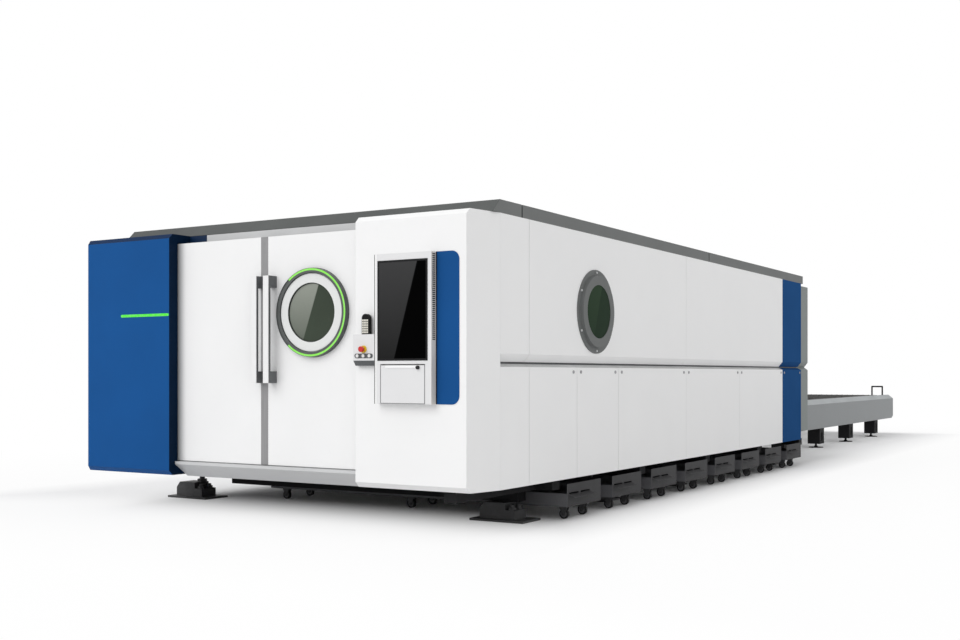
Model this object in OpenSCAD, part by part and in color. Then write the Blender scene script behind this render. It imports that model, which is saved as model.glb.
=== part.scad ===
// Enclosed laser cutting machine with slag carts and a two-level pallet exchange table.
// X runs across the machine, Y from the operator's front to the rear, Z up from the floor.
// Places along Y are measured from the front covers and shifted so the origin is mid-length.

/* [Enclosure] */
// Half of the width over the side walls
wall_x = 2000; // [1900:10:2200]
// Height of the lower edge of walls and covers
wall_bottom = 335; // [330:5:380]
// Height of the upper edge of walls and covers
wall_top = 2280; // [2200:10:2450]
// Rear end of the side walls
wall_end = 7800; // [7600:50:8200]
// Sheet thickness of panels and covers
skin = 3; // [2:0.5:5]
// Depth of the folded wall panels
panel_depth = 60; // [55:5:80]
// Thickness of the tube frame behind the panels
frame_depth = 60; // [40:5:80]
// Height of the tubes in the wall frame
frame_tube = 80; // [60:5:100]
// End of the short corner panel
corner_seam = 755; // [600:5:900]
// Length of the coloured panel at the rear
stripe_len = 781; // [500:1:900]
// Width of the seam between two panels
seam_gap = 4; // [2:0.5:8]
// Height of the bottom of the groove along the wall
groove_z = 1235; // [1150:5:1300]
// Depth of that groove
groove_depth = 46; // [30:1:50]
// Height of its upper slope
groove_rise = 59; // [40:1:80]
// Height of its lower slope
groove_fall = 35; // [20:1:60]
// Radius of a panel lock
lock_r = 13; // [8:1:20]

/* [Roof] */
// Height of the roof above the walls
roof_h = 94; // [80:2:120]
// Distance of the roof hood's left side from the middle
roof_left = 1646; // [1500:1:1700]
// Front lower edge of the roof
roof_front = 235; // [150:5:300]
// Length of the roof's front slope
roof_slope_y = 95; // [60:5:200]
// Rear end of the roof
roof_end = 7880; // [7850:10:8000]
// Seam behind the front slope of the roof
roof_seam_front = 649; // [550:1:850]
// Seam in the middle of the roof
roof_seam_middle = 4515; // [4000:5:5200]
// Width of the joints between the roof modules
roof_gap = 16; // [6:1:20]

/* [Front] */
// Depth of the front covers back to the side walls
cover_depth = 335; // [300:5:420]
// Bevel along the top and bottom of the front covers
cover_bevel = 38; // [20:1:60]
// Inner edge of the left cover
left_cover_in = 884; // [800:1:950]
// Outer front corner of the left cover
left_cover_out = 1840; // [1700:5:1900]
// Inner edge of the right cover
right_cover_in = 988; // [900:1:1050]
// Outer front corner of the right cover
right_cover_out = 1930; // [1800:5:1960]
// Depth of the left cover's folded edge beside the doors
left_return = 90; // [40:1:92]
// Depth of the right cover's folded edge, short of the passing window rim
right_return = 45; // [20:1:48]
// Height of the light strip on the left cover
strip_z = 1628; // [1400:1:1900]
// Length of the light strip
strip_len = 555; // [300:5:800]

/* [Doors] */
// Front face of the doors
door_y = 97; // [95:1:120]
// Thickness of a door leaf
door_t = 40; // [30:1:50]
// Lower edge of the doors
door_bottom = 452; // [440:1:480]
// Upper edge of the doors
door_top = 2204; // [2100:1:2210]
// Where the two doors meet
door_meet = 75; // [0:1:120]
// Width of the edge profile on the left door
edge_w = 71; // [40:1:90]
// How far a leaf reaches behind its cover
door_lap = 30; // [10:1:60]
// Width of a handle
handle_w = 54; // [30:1:60]
// Thickness of a handle's grip
handle_t = 24; // [15:1:30]
// Height of a handle's foot
handle_foot = 89; // [50:1:120]
// Lower end of the handles
handle_bottom = 1081; // [900:1:1200]
// Upper end of the handles
handle_top = 1897; // [1700:1:2000]
// Height of the round windows' glass radius
window_r = 217; // [150:1:240]
// Radius of the door window's rim
rim_r = 336; // [310:1:360]
// Width of the door window's dark rim
rim_w = 40; // [30:1:50]
// How far that rim stands out from the door
rim_out = 40; // [20:1:42]
// Centre of the door window across the machine
door_window_x = 522; // [480:1:560]
// Centre of the door window above the floor
door_window_z = 1610; // [1400:1:1750]

/* [Side window] */
// Centre of the side window from the front
side_window_y = 1875; // [1500:5:2200]
// Centre of the side window above the floor
side_window_z = 1655; // [1650:1:1800]
// Radius of its flange
flange_r = 340; // [330:1:350]
// Radius of its raised ring
ring_r = 290; // [270:1:295]
// Height of the raised ring
ring_out = 26; // [10:1:28]
// Thickness of the flange
flange_t = 8; // [5:1:12]

/* [Operator panel] */
// Left side of the panel case
panel_x = 1200; // [1180:1:1240]
// Width of the panel case
panel_w = 484; // [400:1:500]
// Bottom of the panel case
panel_z = 940; // [800:1:1000]
// Height of the panel case
panel_h = 1053; // [900:1:1100]
// How far the case stands out from the cover
panel_out = 60; // [45:1:62]
// Height of the keyboard flap
flap_h = 268; // [200:1:300]
// Thickness of the keyboard flap
flap_t = 12; // [8:1:16]
// Width of the coloured trim plate beside the case
trim_w = 189; // [100:1:200]
// Width of the button console
console_w = 186; // [150:1:190]
// Bottom of the console's front
console_z = 1246; // [1220:1:1280]
// Height of the console's front
console_h = 186; // [150:1:220]
// Travel of the stop button
stop_travel = 6; // [3:0.5:8]

/* [Bed] */
// Centre of each bed beam across the machine
beam_x = 1420; // [1400:5:1480]
// Width of a bed beam
beam_w = 240; // [200:5:240]
// Top of the bed beams
beam_top = 880; // [860:5:920]
// Wall of the bed beams
beam_wall = 12; // [8:1:20]
// Front end of the bed beams
beam_start = 760; // [700:5:800]
// Rear end of the bed beams
beam_end = 8100; // [8000:10:8150]
// Height of the cross tubes under the bed
cross_h = 80; // [60:5:100]
// Width of the cross tubes
cross_w = 120; // [80:5:140]
// Thickness of a foot's ground plate
foot_plate = 18; // [10:1:25]

/* [Slag carts] */
// Number of slag carts
cart_count = 8; // [8:1:8]
// Pitch of the carts along the machine
cart_pitch = 836; // [820:1:836]
// Near edge of the first cart
cart_start = 1415; // [1405:1:1430]
// Width of a cart
cart_w = 603; // [500:1:610]
// Left end of the trays
cart_left = -1057; // [-1200:1:-900]
// Right end of the trays
cart_right = 1978; // [1900:1:1990]
// Bottom of the trays
tray_bottom = 109; // [100:1:120]
// Height of the tray walls
tray_h = 105; // [80:1:120]
// Top of the pull plate
pull_top = 290; // [260:1:300]
// Sheet of the carts
cart_sheet = 5; // [3:0.5:8]
// Radius of a caster wheel
caster_r = 40; // [30:1:45]
// Width of a caster wheel
caster_w = 30; // [20:1:40]

/* [Pallets] */
// Length of a pallet
pallet_len = 6200; // [6000:50:6200]
// Front end of the pallet inside the machine
pallet_start = 1480; // [1470:5:1500]
// Half of the width over a pallet's side channels
pallet_x = 1090; // [1000:5:1090]
// Height of the upper pallet's rails
upper_rail_z = 655; // [650:1:660]
// Height of the lower pallet's rails
lower_rail_z = 470; // [460:1:470]
// Pitch of the slats
slat_pitch = 152; // [120:1:200]
// Thickness of a slat
slat_t = 6; // [4:1:10]
// Pitch of the teeth on a slat
tooth_pitch = 98; // [80:1:150]
// Height of the teeth
tooth_h = 32; // [20:1:40]
// Radius of a pallet wheel
pallet_wheel_r = 35; // [30:1:38]

/* [Exchange table] */
// Front end of the table
table_start = 8285; // [8285:1:8400]
// Rear end of the table
table_end = 16800; // [16600:10:17000]
// Outer face of the table's side beams
table_x = 1250; // [1240:5:1300]
// Inner face of the table's side beams
table_in = 1140; // [1130:1:1145]
// Bottom of the side beams
table_bottom = 303; // [280:1:330]
// Top of the side beams
table_top = 750; // [740:1:760]
// Bevel along the top of the side beams
table_bevel = 62; // [40:1:70]
// Sheet of the side beams
table_sheet = 5; // [3:0.5:8]
// First pair of legs
leg_start = 9744; // [9000:5:10000]
// Distance of the last legs from the table's end
leg_end = 1446; // [1200:1:1700]
// Radius of the drive shaft
shaft_r = 20; // [15:1:22]
// Radius at the bottom of the drive chain
chain_r = 30; // [28:1:31]

/* [Gantry] */
// How far the beam reaches past the centre of each bed beam
gantry_overhang = 140; // [100:5:180]
// Front face of the gantry beam at rest
gantry_y = 920; // [900:5:960]
// Depth of the gantry beam
gantry_d = 300; // [250:5:300]
// Bottom of the gantry beam
gantry_z = 1010; // [1005:1:1040]
// Height of the gantry beam
gantry_h = 380; // [300:5:420]
// Height of the nozzle's tip at rest
nozzle_z = 905; // [900:1:930]

/* [Hidden] */
$fn = 48;
run_gap = 0.3;
over = 1;
front_reach = 100;
half_reach = wall_x + flange_t + ring_out;
mid_y = (table_end - front_reach) / 2;
frame_x = wall_x - panel_depth;
door_back = door_y + door_t;
stripe_start = wall_end - stripe_len;
panel_pitch = (stripe_start - corner_seam) / 4;
lower_seams = [corner_seam, corner_seam + panel_pitch / 2, corner_seam + panel_pitch,
    corner_seam + 2 * panel_pitch, corner_seam + 3 * panel_pitch, stripe_start];
upper_seams = [corner_seam, corner_seam + 2 * panel_pitch, stripe_start];
lock_z = groove_z - groove_fall - 34;
lock_offset = 65;

// Rear collar, set in from the walls
collar_x = wall_x - 50;
collar_end = table_start - 5;
collar_bottom = 430;
collar_top = wall_top - 19;
port_x = 1260;
port_top = 980;
gate_x = 1330;
gate_y = [collar_end - 42, collar_end - 10];
gate_h = 560;
gate_travel = 560;
guide_x = gate_x + 4;

// Doors and their top rail
rail_y = [205, 230];
rail_z = [2120, 2150];
hanger_r = 25;
sill_top = 445;
sill_bottom = wall_bottom - 17;
guide_t = 8;
guide_h = 25;
left_edge_x = door_meet - edge_w;
window_hole_lip = 15;
dish_out = 30;
lip_out = 8;

// Operator panel
flap_z = panel_z + 3;
flap_x = [panel_x + 53, panel_x + panel_w - 55];
pin_r = 3;
pin_reach = 14;
screen_x = [panel_x + 28, panel_x + panel_w - 31];
screen_z = [panel_z + 303, panel_z + panel_h - 47];
console_x = [panel_x - console_w, panel_x];
stop_x = console_x[0] + 93;
stop_z = console_z + 80;
stop_stem_r = 9;
button_z = console_z + 33;

// Carts
cart_y = [for (i = [0 : cart_count - 1]) cart_start + i * cart_pitch];
cart_gap = cart_pitch - cart_w;
caster_x = [cart_right - 98, 410, cart_left + 77];
caster_inset = 137;

// Cross tubes stand in the gaps between the carts
row_y = [cart_start - cart_gap / 2 - 8, cart_y[2] - cart_gap / 2, cart_y[4] - cart_gap / 2,
    cart_y[6] - cart_gap / 2, cart_y[7] + cart_w + cart_gap / 2];
cross_bottom = wall_bottom - cross_h;
foot_size = [480, 290];
outrigger_x = half_reach - foot_size[0] / 2;
girder_bottom = 150;

// Gantry guides
gantry_len = 2 * (beam_x + gantry_overhang);
rail_w = 34;
rail_h = 30;
rail_top = beam_top + rail_h;
truck_bottom = rail_top + 50;
cross_rail_z = [gantry_z + 70, gantry_z + gantry_h - 70];
cross_rail = [30, 25];
gantry_back = gantry_y + gantry_d;
carriage_y = gantry_back + cross_rail[1] + 10;
z_rail_x = 100;
slide_y = carriage_y + 30 + 27;
head_y = slide_y + 88;

// Pallets
pallet_out_end = table_end - 650;
pallet_out_start = pallet_out_end - pallet_len;
ledge_in = pallet_x + 8;
ledge_t = 12;
channel_w = 60;
channel_z = [0, 95];
slat_foot = 30;
slat_base = 40;
slat_x = pallet_x - channel_w - 0.5;
slat_count = floor((pallet_len - 200) / slat_pitch);
tooth_count = floor(2 * slat_x / tooth_pitch);
wheel_y = [for (i = [0 : 4]) 160 + i * (pallet_len - 320) / 4];

// Exchange drive
chain_t = 10;
chain_w = 16;
chain_x = pallet_x - 44;
chain_z = (upper_rail_z + channel_z[0] + lower_rail_z + channel_z[1]) / 2;
chain_front = pallet_start - 65;
shaft_y = pallet_out_end + 200;
stop_bar_y = pallet_out_end + 65;
leg_pitch = (table_end - leg_end - leg_start) / 3;
leg_y = [for (i = [0 : 3]) leg_start + i * leg_pitch];
leg_size = [186, 260];
leg_bottom = 63;

// Shared shapes

module placed() {
    translate([0, -mid_y, 0]) children();
}

module span(x, y, z) {
    translate([x[0], y[0], z[0]]) cube([x[1] - x[0], y[1] - y[0], z[1] - z[0]]);
}

// Extrudes a profile drawn in X and Z along Y
module along_y(y) {
    translate([0, y[1], 0]) rotate([90, 0, 0]) linear_extrude(y[1] - y[0]) children();
}

// Extrudes a profile drawn in Y and Z along X
module along_x(x) {
    translate([x[0], 0, 0]) rotate([90, 0, 90]) linear_extrude(x[1] - x[0]) children();
}

module disc_x(x, y, z, r) {
    translate([x[0], y, z]) rotate([0, 90, 0]) cylinder(h = x[1] - x[0], r = r);
}

module disc_y(x, y, z, r) {
    translate([x, y[0], z]) rotate([-90, 0, 0]) cylinder(h = y[1] - y[0], r = r);
}

module disc_z(x, y, z, r) {
    translate([x, y, z[0]]) cylinder(h = z[1] - z[0], r = r);
}

module both_sides() {
    children();
    mirror([1, 0, 0]) children();
}

// Square tube along X, capped at its right end
module tube_x(x, y, z, wall) {
    difference() {
        span(x, y, z);
        span([x[0] - over, x[1] - wall], [y[0] + wall, y[1] - wall], [z[0] + wall, z[1] - wall]);
    }
}

// Bed and feet

module bed_beams() {
    color("dimgray") placed() both_sides() difference() {
        span([beam_x - beam_w / 2, beam_x + beam_w / 2], [beam_start, beam_end], [wall_bottom, beam_top]);
        span([beam_x - beam_w / 2 + beam_wall, beam_x + beam_w / 2 - beam_wall],
            [beam_start - over, beam_end + over], [wall_bottom + beam_wall, beam_top - beam_wall]);
    }
}

module bed_cross_tubes() {
    arm_w = 100;
    arm_front = 75;
    low_beam = [girder_bottom, cross_bottom];
    sill_x = left_cover_in - 234;
    color("black") placed() {
        for (y = row_y) tube_x([-frame_x, frame_x], [y - cross_w / 2, y + cross_w / 2],
            [cross_bottom, wall_bottom], 8);
        // Deep front girder and the arms that carry covers and threshold
        span([56 - beam_x, beam_x + 220], [row_y[0] - cross_w / 2, row_y[0] + cross_w / 2], low_beam);
        span([wall_x - 300, wall_x - 300 + arm_w], [arm_front, row_y[0] - cross_w / 2],
            [cross_bottom, wall_bottom]);
        for (x = [-sill_x, sill_x]) span([x, x + arm_w], [cover_depth, row_y[0]],
            [sill_bottom, sill_bottom + 50]);
    }
}

module foot(top, shift) {
    plate = foot_size;
    block = [230, 180];
    block_h = 145;
    step = [90, 90];
    left = 60 - plate[0] / 2;
    right = left + block[0];
    bolt_r = 20;
    translate([-plate[0] / 2, shift - plate[1] / 2, 0]) cube([plate[0], plate[1], foot_plate]);
    // Wedge block with a sloping end and a lower step for its bolts
    along_y([shift - block[1] / 2, shift + block[1] / 2]) polygon([[left, foot_plate - over],
        [right + step[0], foot_plate - over], [right + step[0], step[1]], [right, step[1]], [right, block_h],
        [left + 40, block_h], [left, block_h * 0.65]]);
    cylinder(h = top, r = 24);
    if (top > block_h + 40) translate([0, 0, block_h - over]) cylinder(h = 24, r = 46, $fn = 6);
    for (y = [-50, 50]) translate([right + step[0] / 2, shift + y, 0]) {
        cylinder(h = step[1] + 40, r = bolt_r);
        translate([0, 0, step[1] - over]) cylinder(h = 22, r = bolt_r * 1.7, $fn = 6);
    }
}

module levelling_feet() {
    color("black") placed() {
        for (i = [1 : len(row_y) - 1], s = [-1, 1]) translate([s * beam_x, row_y[i], 0]) foot(cross_bottom, 0);
        translate([-outrigger_x, row_y[0], 0]) foot(cross_bottom, -58);
        translate([beam_x + 100, row_y[0], 0]) foot(girder_bottom, -58);
    }
}

module gantry_rails() {
    rack_x = beam_x + 70;
    ends = [beam_start + 20, beam_end - 50];
    color("silver") placed() both_sides() {
        along_y(ends) polygon([for (s = [-1, 1], p = [[17, 0], [17, 10], [12, 14], [12, 20], [17, 24], [17, 30]])
            s < 0 ? [beam_x - p[0], beam_top + p[1]]
                : [beam_x + p[0], beam_top + rail_h - p[1]]]);
        span([rack_x, rack_x + 28], ends, [beam_top, beam_top + rail_h]);
    }
}

module pallet_rails() {
    machine_end = gate_y[0] - 48;
    bed_in = beam_x - beam_w / 2;
    color("gray") placed() both_sides() {
        for (z = [upper_rail_z, lower_rail_z]) {
            span([ledge_in, bed_in], [pallet_start - 80, machine_end], [z - ledge_t, z]);
            span([ledge_in, table_in], [table_start, stop_bar_y + 40], [z - ledge_t, z]);
        }
        // Fixed shoe that turns the drive chain at the front
        disc_x([chain_x - chain_w / 2, chain_x + chain_w / 2], chain_front, chain_z, chain_r - run_gap);
        disc_x([chain_x, bed_in], chain_front, chain_z, 10);
    }
}

// Walls and roof

module wall_frame() {
    y = [cover_depth, wall_end];
    x = [frame_x - frame_depth, frame_x];
    for (z = [wall_bottom, groove_z - frame_tube / 2, wall_top - frame_tube])
        span(x, y, [z, z + frame_tube]);
    for (p = concat([cover_depth + frame_tube / 2, wall_end - frame_tube / 2], lower_seams))
        span(x, [p - frame_tube / 2, p + frame_tube / 2], [wall_bottom, wall_top]);
}

module wall_frames() {
    color("slategray") placed() both_sides() wall_frame();
}

// Folded panel above the groove, open towards the frame
module upper_panel(y) {
    top = wall_top;
    foot_z = groove_z + 2;
    difference() {
        along_y(y) polygon([[frame_x, foot_z], [wall_x - groove_depth, foot_z], [wall_x, groove_z + groove_rise],
            [wall_x, top], [frame_x, top]]);
        along_y([y[0] + skin, y[1] - skin]) polygon([[frame_x - over, foot_z + skin],
            [wall_x - groove_depth - skin / 2, foot_z + skin], [wall_x - skin, groove_z + groove_rise + skin / 2],
            [wall_x - skin, top - skin], [frame_x - over, top - skin]]);
    }
}

// Folded panel below the groove
module lower_panel(y) {
    head_z = groove_z - 12;
    difference() {
        along_y(y) polygon([[frame_x, wall_bottom], [wall_x, wall_bottom], [wall_x, groove_z - groove_fall],
            [wall_x - groove_depth, head_z], [frame_x, head_z]]);
        along_y([y[0] + skin, y[1] - skin]) polygon([[frame_x - over, wall_bottom + skin],
            [wall_x - skin, wall_bottom + skin], [wall_x - skin, groove_z - groove_fall - skin / 2],
            [wall_x - groove_depth - skin / 2, head_z - skin], [frame_x - over, head_z - skin]]);
    }
}

function panel_spans(start, seams) = [for (i = [0 : len(seams) - 1])
    [i == 0 ? start : seams[i - 1] + seam_gap / 2, seams[i] - seam_gap / 2]];

module wall_panels() {
    for (y = panel_spans(cover_depth, upper_seams)) upper_panel(y);
    for (y = panel_spans(cover_depth, lower_seams)) lower_panel(y);
}

module left_wall_panels() {
    color("whitesmoke") placed() mirror([1, 0, 0]) wall_panels();
}

module right_wall_panels() {
    color("whitesmoke") placed() difference() {
        wall_panels();
        disc_x([frame_x, wall_x + over], side_window_y, side_window_z, ring_r - 30);
    }
}

module rear_stripe_panels() {
    y = [stripe_start + seam_gap / 2, wall_end];
    color("steelblue") placed() both_sides() {
        upper_panel(y);
        lower_panel(y);
    }
}

module panel_locks() {
    places = concat([for (i = [1 : len(lower_seams) - 1], s = [-1, 1]) lower_seams[i] + s * lock_offset],
        [wall_end - lock_offset]);
    color("gray") placed() both_sides() for (y = places) difference() {
        disc_x([wall_x, wall_x + 6], y, lock_z, lock_r);
        span([wall_x + 3, wall_x + 6 + over], [y - lock_r * 0.7, y + lock_r * 0.7], [lock_z - 2, lock_z + 2]);
    }
}

// Hood with upright sides and a sloped front, one shell for each roof module
module roof_form(inset) {
    low = wall_top - (inset > 0 ? over : 0);
    top = wall_top + roof_h - inset;
    run = roof_slope_y / roof_h;
    front = roof_front + inset * sqrt(1 + run * run);
    along_x([inset - roof_left, wall_x - inset]) polygon([[front - (wall_top - low) * run, low],
        [roof_end - inset, low], [roof_end - inset, top], [front + (top - wall_top) * run, top]]);
}

module roof_panels() {
    seams = [roof_front, roof_seam_front, roof_seam_middle, roof_end];
    color("dimgray") placed() for (i = [0 : 2]) {
        y = [seams[i] + (i > 0 ? roof_gap / 2 : 0), seams[i + 1] - (i < 2 ? roof_gap / 2 : 0)];
        difference() {
            intersection() {
                roof_form(0);
                span([-wall_x, wall_x], y, [wall_top, wall_top + roof_h]);
            }
            intersection() {
                roof_form(skin);
                span([-wall_x, wall_x], [y[0] + skin, y[1] - skin], [wall_top - over, wall_top + roof_h]);
            }
        }
        // Flat sheet that closes the top beside the hood
        span([-wall_x, skin - roof_left], y, [wall_top, wall_top + skin]);
    }
}

module side_window_frame() {
    bolt_r = 9;
    seat = 14;
    color("gray") placed() translate([wall_x, side_window_y, side_window_z]) rotate([0, 90, 0]) {
        rotate_extrude($fn = 96) polygon([[window_r - seat, 0], [flange_r, 0], [flange_r, flange_t],
            [ring_r + 6, flange_t], [ring_r, flange_t + ring_out], [window_r, flange_t + ring_out],
            [window_r, flange_t + ring_out - 12], [window_r - seat, flange_t + ring_out - 12]]);
        for (a = [0 : 60 : 300]) rotate([0, 0, a]) translate([(flange_r + ring_r) / 2 + 3, 0, flange_t])
            cylinder(h = 7, r = bolt_r);
    }
}

module side_window_glass() {
    z = flange_t + ring_out - 12;
    color("darkolivegreen") placed() translate([wall_x + z, side_window_y, side_window_z])
        rotate([0, 90, 0]) cylinder(h = 8, r = window_r - run_gap);
}

// Rear collar and gate

module rear_collar() {
    rear = [collar_end - skin, collar_end];
    color("gray") placed() {
        difference() {
            along_y([wall_end, collar_end]) polygon(collar_outline(0));
            along_y([wall_end - over, rear[0]]) polygon(collar_outline(skin));
            span([-port_x, port_x], [rear[0] - over, rear[1] + over], [collar_bottom - over, port_top]);
        }
        // Guide channels for the gate
        both_sides() {
            span([guide_x, guide_x + 8], [gate_y[0] - 10, rear[0]], [collar_bottom, port_top + gate_travel]);
            span([guide_x - 54, guide_x + 8], [gate_y[0] - 10, gate_y[0] - 0.5],
                [collar_bottom, port_top + gate_travel]);
        }
    }
}

function collar_half(i) = [[collar_x - i, collar_bottom - (i > 0 ? over : 0)],
    [collar_x - i, groove_z - groove_fall - i / 2], [collar_x - groove_depth - i, groove_z],
    [collar_x - i, groove_z + groove_rise + i / 2], [collar_x - i, collar_top - i]];

function collar_outline(i) = concat(collar_half(i),
    [for (k = [4 : -1 : 0]) [-collar_half(i)[k][0], collar_half(i)[k][1]]]);

// The gate is drawn lifted clear of the port
module rear_gate() {
    z = [port_top - gate_h + gate_travel + 25, port_top + gate_travel + 25];
    color("lightgray") placed() difference() {
        span([-gate_x, gate_x], gate_y, z);
        // Notches that straddle the drive chains when the gate is shut
        both_sides() span([chain_x - chain_w, chain_x + chain_w], [gate_y[0] - over, gate_y[1] + over],
            [z[0] - over, z[0] + chain_z + chain_r + chain_t + 18 - (z[0] - gate_travel)]);
        for (i = [-2 : 1]) span([i * 600 + 60, i * 600 + 540], [gate_y[0] - over, gate_y[0] + 20],
            [z[0] + 60, z[1] - 60]);
    }
}

// Front covers, doors and threshold

function cover_plan(x_in, x_out, i) = [[x_in + i, i], [x_out - i, i],
    [wall_x - i * 1.1, cover_depth + (i > 0 ? over : 0)], [x_in + i, cover_depth + (i > 0 ? over : 0)]];

function cover_side(i) = [[i, wall_bottom + cover_bevel + 0.41 * i], [cover_bevel + 0.41 * i, wall_bottom + i],
    [cover_depth + 2 * over, wall_bottom + i], [cover_depth + 2 * over, wall_top - i],
    [cover_bevel + 0.41 * i, wall_top - i], [i, wall_top - cover_bevel - 0.41 * i]];

module cover_form(x_in, x_out, i) {
    intersection() {
        translate([0, 0, wall_bottom - over]) linear_extrude(wall_top - wall_bottom + 2 * over)
            polygon(cover_plan(x_in, x_out, i));
        along_x([x_in - over, wall_x + over]) polygon(cover_side(i));
    }
}

// Folded cover with its inner edge cut back for the sliding door
module front_cover(x_in, x_out, edge) {
    difference() {
        cover_form(x_in, x_out, 0);
        cover_form(x_in, x_out, skin);
        span([x_in - over, x_in + skin + over], [edge, cover_depth + 2 * over], [sill_top, door_top + 8]);
        span([x_in - over, x_in + skin + over], [rail_y[1], cover_depth + 2 * over], [door_top, wall_top - skin]);
    }
}

module front_left_cover() {
    color("royalblue") placed() mirror([1, 0, 0]) front_cover(left_cover_in, left_cover_out, left_return);
}

module front_right_cover() {
    color("whitesmoke") placed() front_cover(right_cover_in, right_cover_out, right_return);
}

module cover_light_strip() {
    r = 11;
    x = [-left_cover_in - strip_len + r, -left_cover_in - 4 - r];
    color("lime") placed() {
        span(x, [-3, 0], [strip_z - r, strip_z + r]);
        for (end = x) disc_y(end, [-3, 0], strip_z, r);
    }
}

module door_header() {
    reach = frame_x - 40;
    color("lightgray") placed() {
        span([-reach, reach], [rail_y[1], cover_depth], [rail_z[0] - 20, wall_top - skin]);
        span([-reach + 50, reach - 20], rail_y, rail_z);
    }
}

module door_threshold() {
    nose_y = 62;
    guide_y = door_y + (door_t - guide_t) / 2;
    color("gainsboro") placed() {
        along_x([-left_cover_in, right_cover_in]) polygon([[nose_y, sill_top], [nose_y, sill_top - 23],
            [door_back + 65, sill_bottom], [cover_depth, sill_bottom], [cover_depth, sill_top],
            [guide_y + guide_t, sill_top],
            [guide_y + guide_t, sill_top + guide_h], [guide_y, sill_top + guide_h], [guide_y, sill_top]]);
    }
}

// Flat leaf with the guide groove in its lower edge
module leaf(x) {
    groove = [door_y + (door_t - guide_t) / 2 - 4, door_y + (door_t + guide_t) / 2 + 4];
    difference() {
        span(x, [door_y, door_back], [door_bottom, door_top]);
        span([x[0] - over, x[1] + over], groove, [door_bottom - over, sill_top + guide_h + 8]);
    }
}

// Bracket and roller that hang a leaf on the top rail
module hanger(x) {
    z = rail_z[1] + hanger_r + run_gap;
    axle_r = 8;
    span([x - 45, x + 45], [door_back, door_back + 6], [rail_z[0] - 60, door_top - 4]);
    span([x - 22, x + 22], [door_back + 5, rail_y[0] - 6], [z - 15, z + 15]);
    disc_y(x, [rail_y[0] - 7, rail_y[1] - 2], z, axle_r);
    difference() {
        disc_y(x, [rail_y[0], rail_y[1] - 5], z, hanger_r);
        disc_y(x, [rail_y[0] - over, rail_y[1]], z, axle_r + run_gap);
    }
}

module left_door() {
    x = [-left_cover_in - door_lap, left_edge_x];
    color("whitesmoke") placed() {
        leaf(x);
        for (p = [x[0] + 160, x[1] - 160]) hanger(p);
    }
}

module left_door_edge() {
    color("darkgray") placed() leaf([left_edge_x, door_meet]);
}

module right_door() {
    x = [door_meet + 1, right_cover_in + door_lap];
    color("whitesmoke") placed() {
        difference() {
            leaf(x);
            disc_y(door_window_x, [door_y - over, door_back + over], door_window_z,
                window_r - window_hole_lip, $fn = 96);
        }
        for (p = [x[0] + 160, x[1] - 160]) hanger(p);
    }
}

// Raised white ring that seats the glass in front of the leaf
module window_dish() {
    outer = rim_r - rim_w - 2;
    hole = window_r - window_hole_lip;
    color("whitesmoke") placed() translate([door_window_x, door_y, door_window_z]) rotate([90, 0, 0])
        rotate_extrude($fn = 96) polygon([[hole, 0], [outer, 0], [outer, dish_out - 4], [outer - 4, dish_out],
            [window_r + 5, dish_out], [window_r, dish_out - 5], [window_r, lip_out], [hole, lip_out]]);
}

module handle(x) {
    span(x, [0, handle_t], [handle_bottom, handle_top]);
    for (z = [handle_bottom, handle_top - handle_foot]) span(x, [handle_t - over, door_y], [z, z + handle_foot]);
}

module left_handle() {
    color("white") placed() handle([door_meet - 87, door_meet - 87 + handle_w]);
}

module right_handle() {
    color("white") placed() handle([door_meet + 34, door_meet + 34 + handle_w]);
}

light_r = [rim_r - rim_w + 18, rim_r - 7];
light_depth = 5;

module window_rim() {
    color("dimgray") placed() translate([door_window_x, door_y, door_window_z]) rotate([90, 0, 0])
        rotate_extrude($fn = 96) polygon([[rim_r - rim_w, 0], [rim_r, 0], [rim_r - 4, rim_out],
            [light_r[1], rim_out], [light_r[1], rim_out - light_depth], [light_r[0], rim_out - light_depth],
            [light_r[0], rim_out], [rim_r - rim_w, rim_out]]);
}

module window_light() {
    color("lime") placed() translate([door_window_x, door_y - rim_out + light_depth, door_window_z])
        rotate([90, 0, 0]) rotate([0, 0, -131]) rotate_extrude(angle = 261, $fn = 96)
            translate([light_r[0] + run_gap, 0]) square([light_r[1] - light_r[0] - 2 * run_gap, light_depth]);
}

module window_glass() {
    lip_y = door_y - lip_out;
    color("darkolivegreen") placed() disc_y(door_window_x, [lip_y - 10, lip_y], door_window_z,
        window_r - run_gap, $fn = 96);
}

// Operator panel and console

module panel_case() {
    x = [panel_x, panel_x + panel_w];
    slot_count = 43;
    slot_pitch = 14;
    slot_top = panel_z + panel_h - 12;
    color("white") placed() difference() {
        span(x, [-panel_out, 0], [panel_z, panel_z + panel_h]);
        span(screen_x, [-panel_out - over, -panel_out + 12], screen_z);
        // Niche behind the keyboard flap
        span([flap_x[0] - 2, flap_x[1] + 2], [-panel_out - over, -15], [panel_z - over, flap_z + flap_h + 8]);
        // Bores for the flap's hinge pins
        disc_x([flap_x[0] - pin_reach - over, flap_x[1] + pin_reach + over], -panel_out + flap_t / 2,
            flap_z + flap_t / 2, pin_r + run_gap);
        // Air slots in the right side
        for (i = [0 : slot_count - 1]) span([x[1] - 25, x[1] + over], [-panel_out + 12, -12],
            [slot_top - i * slot_pitch - 8, slot_top - i * slot_pitch]);
    }
}

module panel_screen() {
    bezel = 14;
    color("black") placed() difference() {
        span(screen_x, [-panel_out - 2, -panel_out + 12], screen_z);
        span([screen_x[0] + bezel, screen_x[1] - bezel], [-panel_out - 3, -panel_out],
            [screen_z[0] + bezel, screen_z[1] - bezel]);
    }
}

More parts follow.
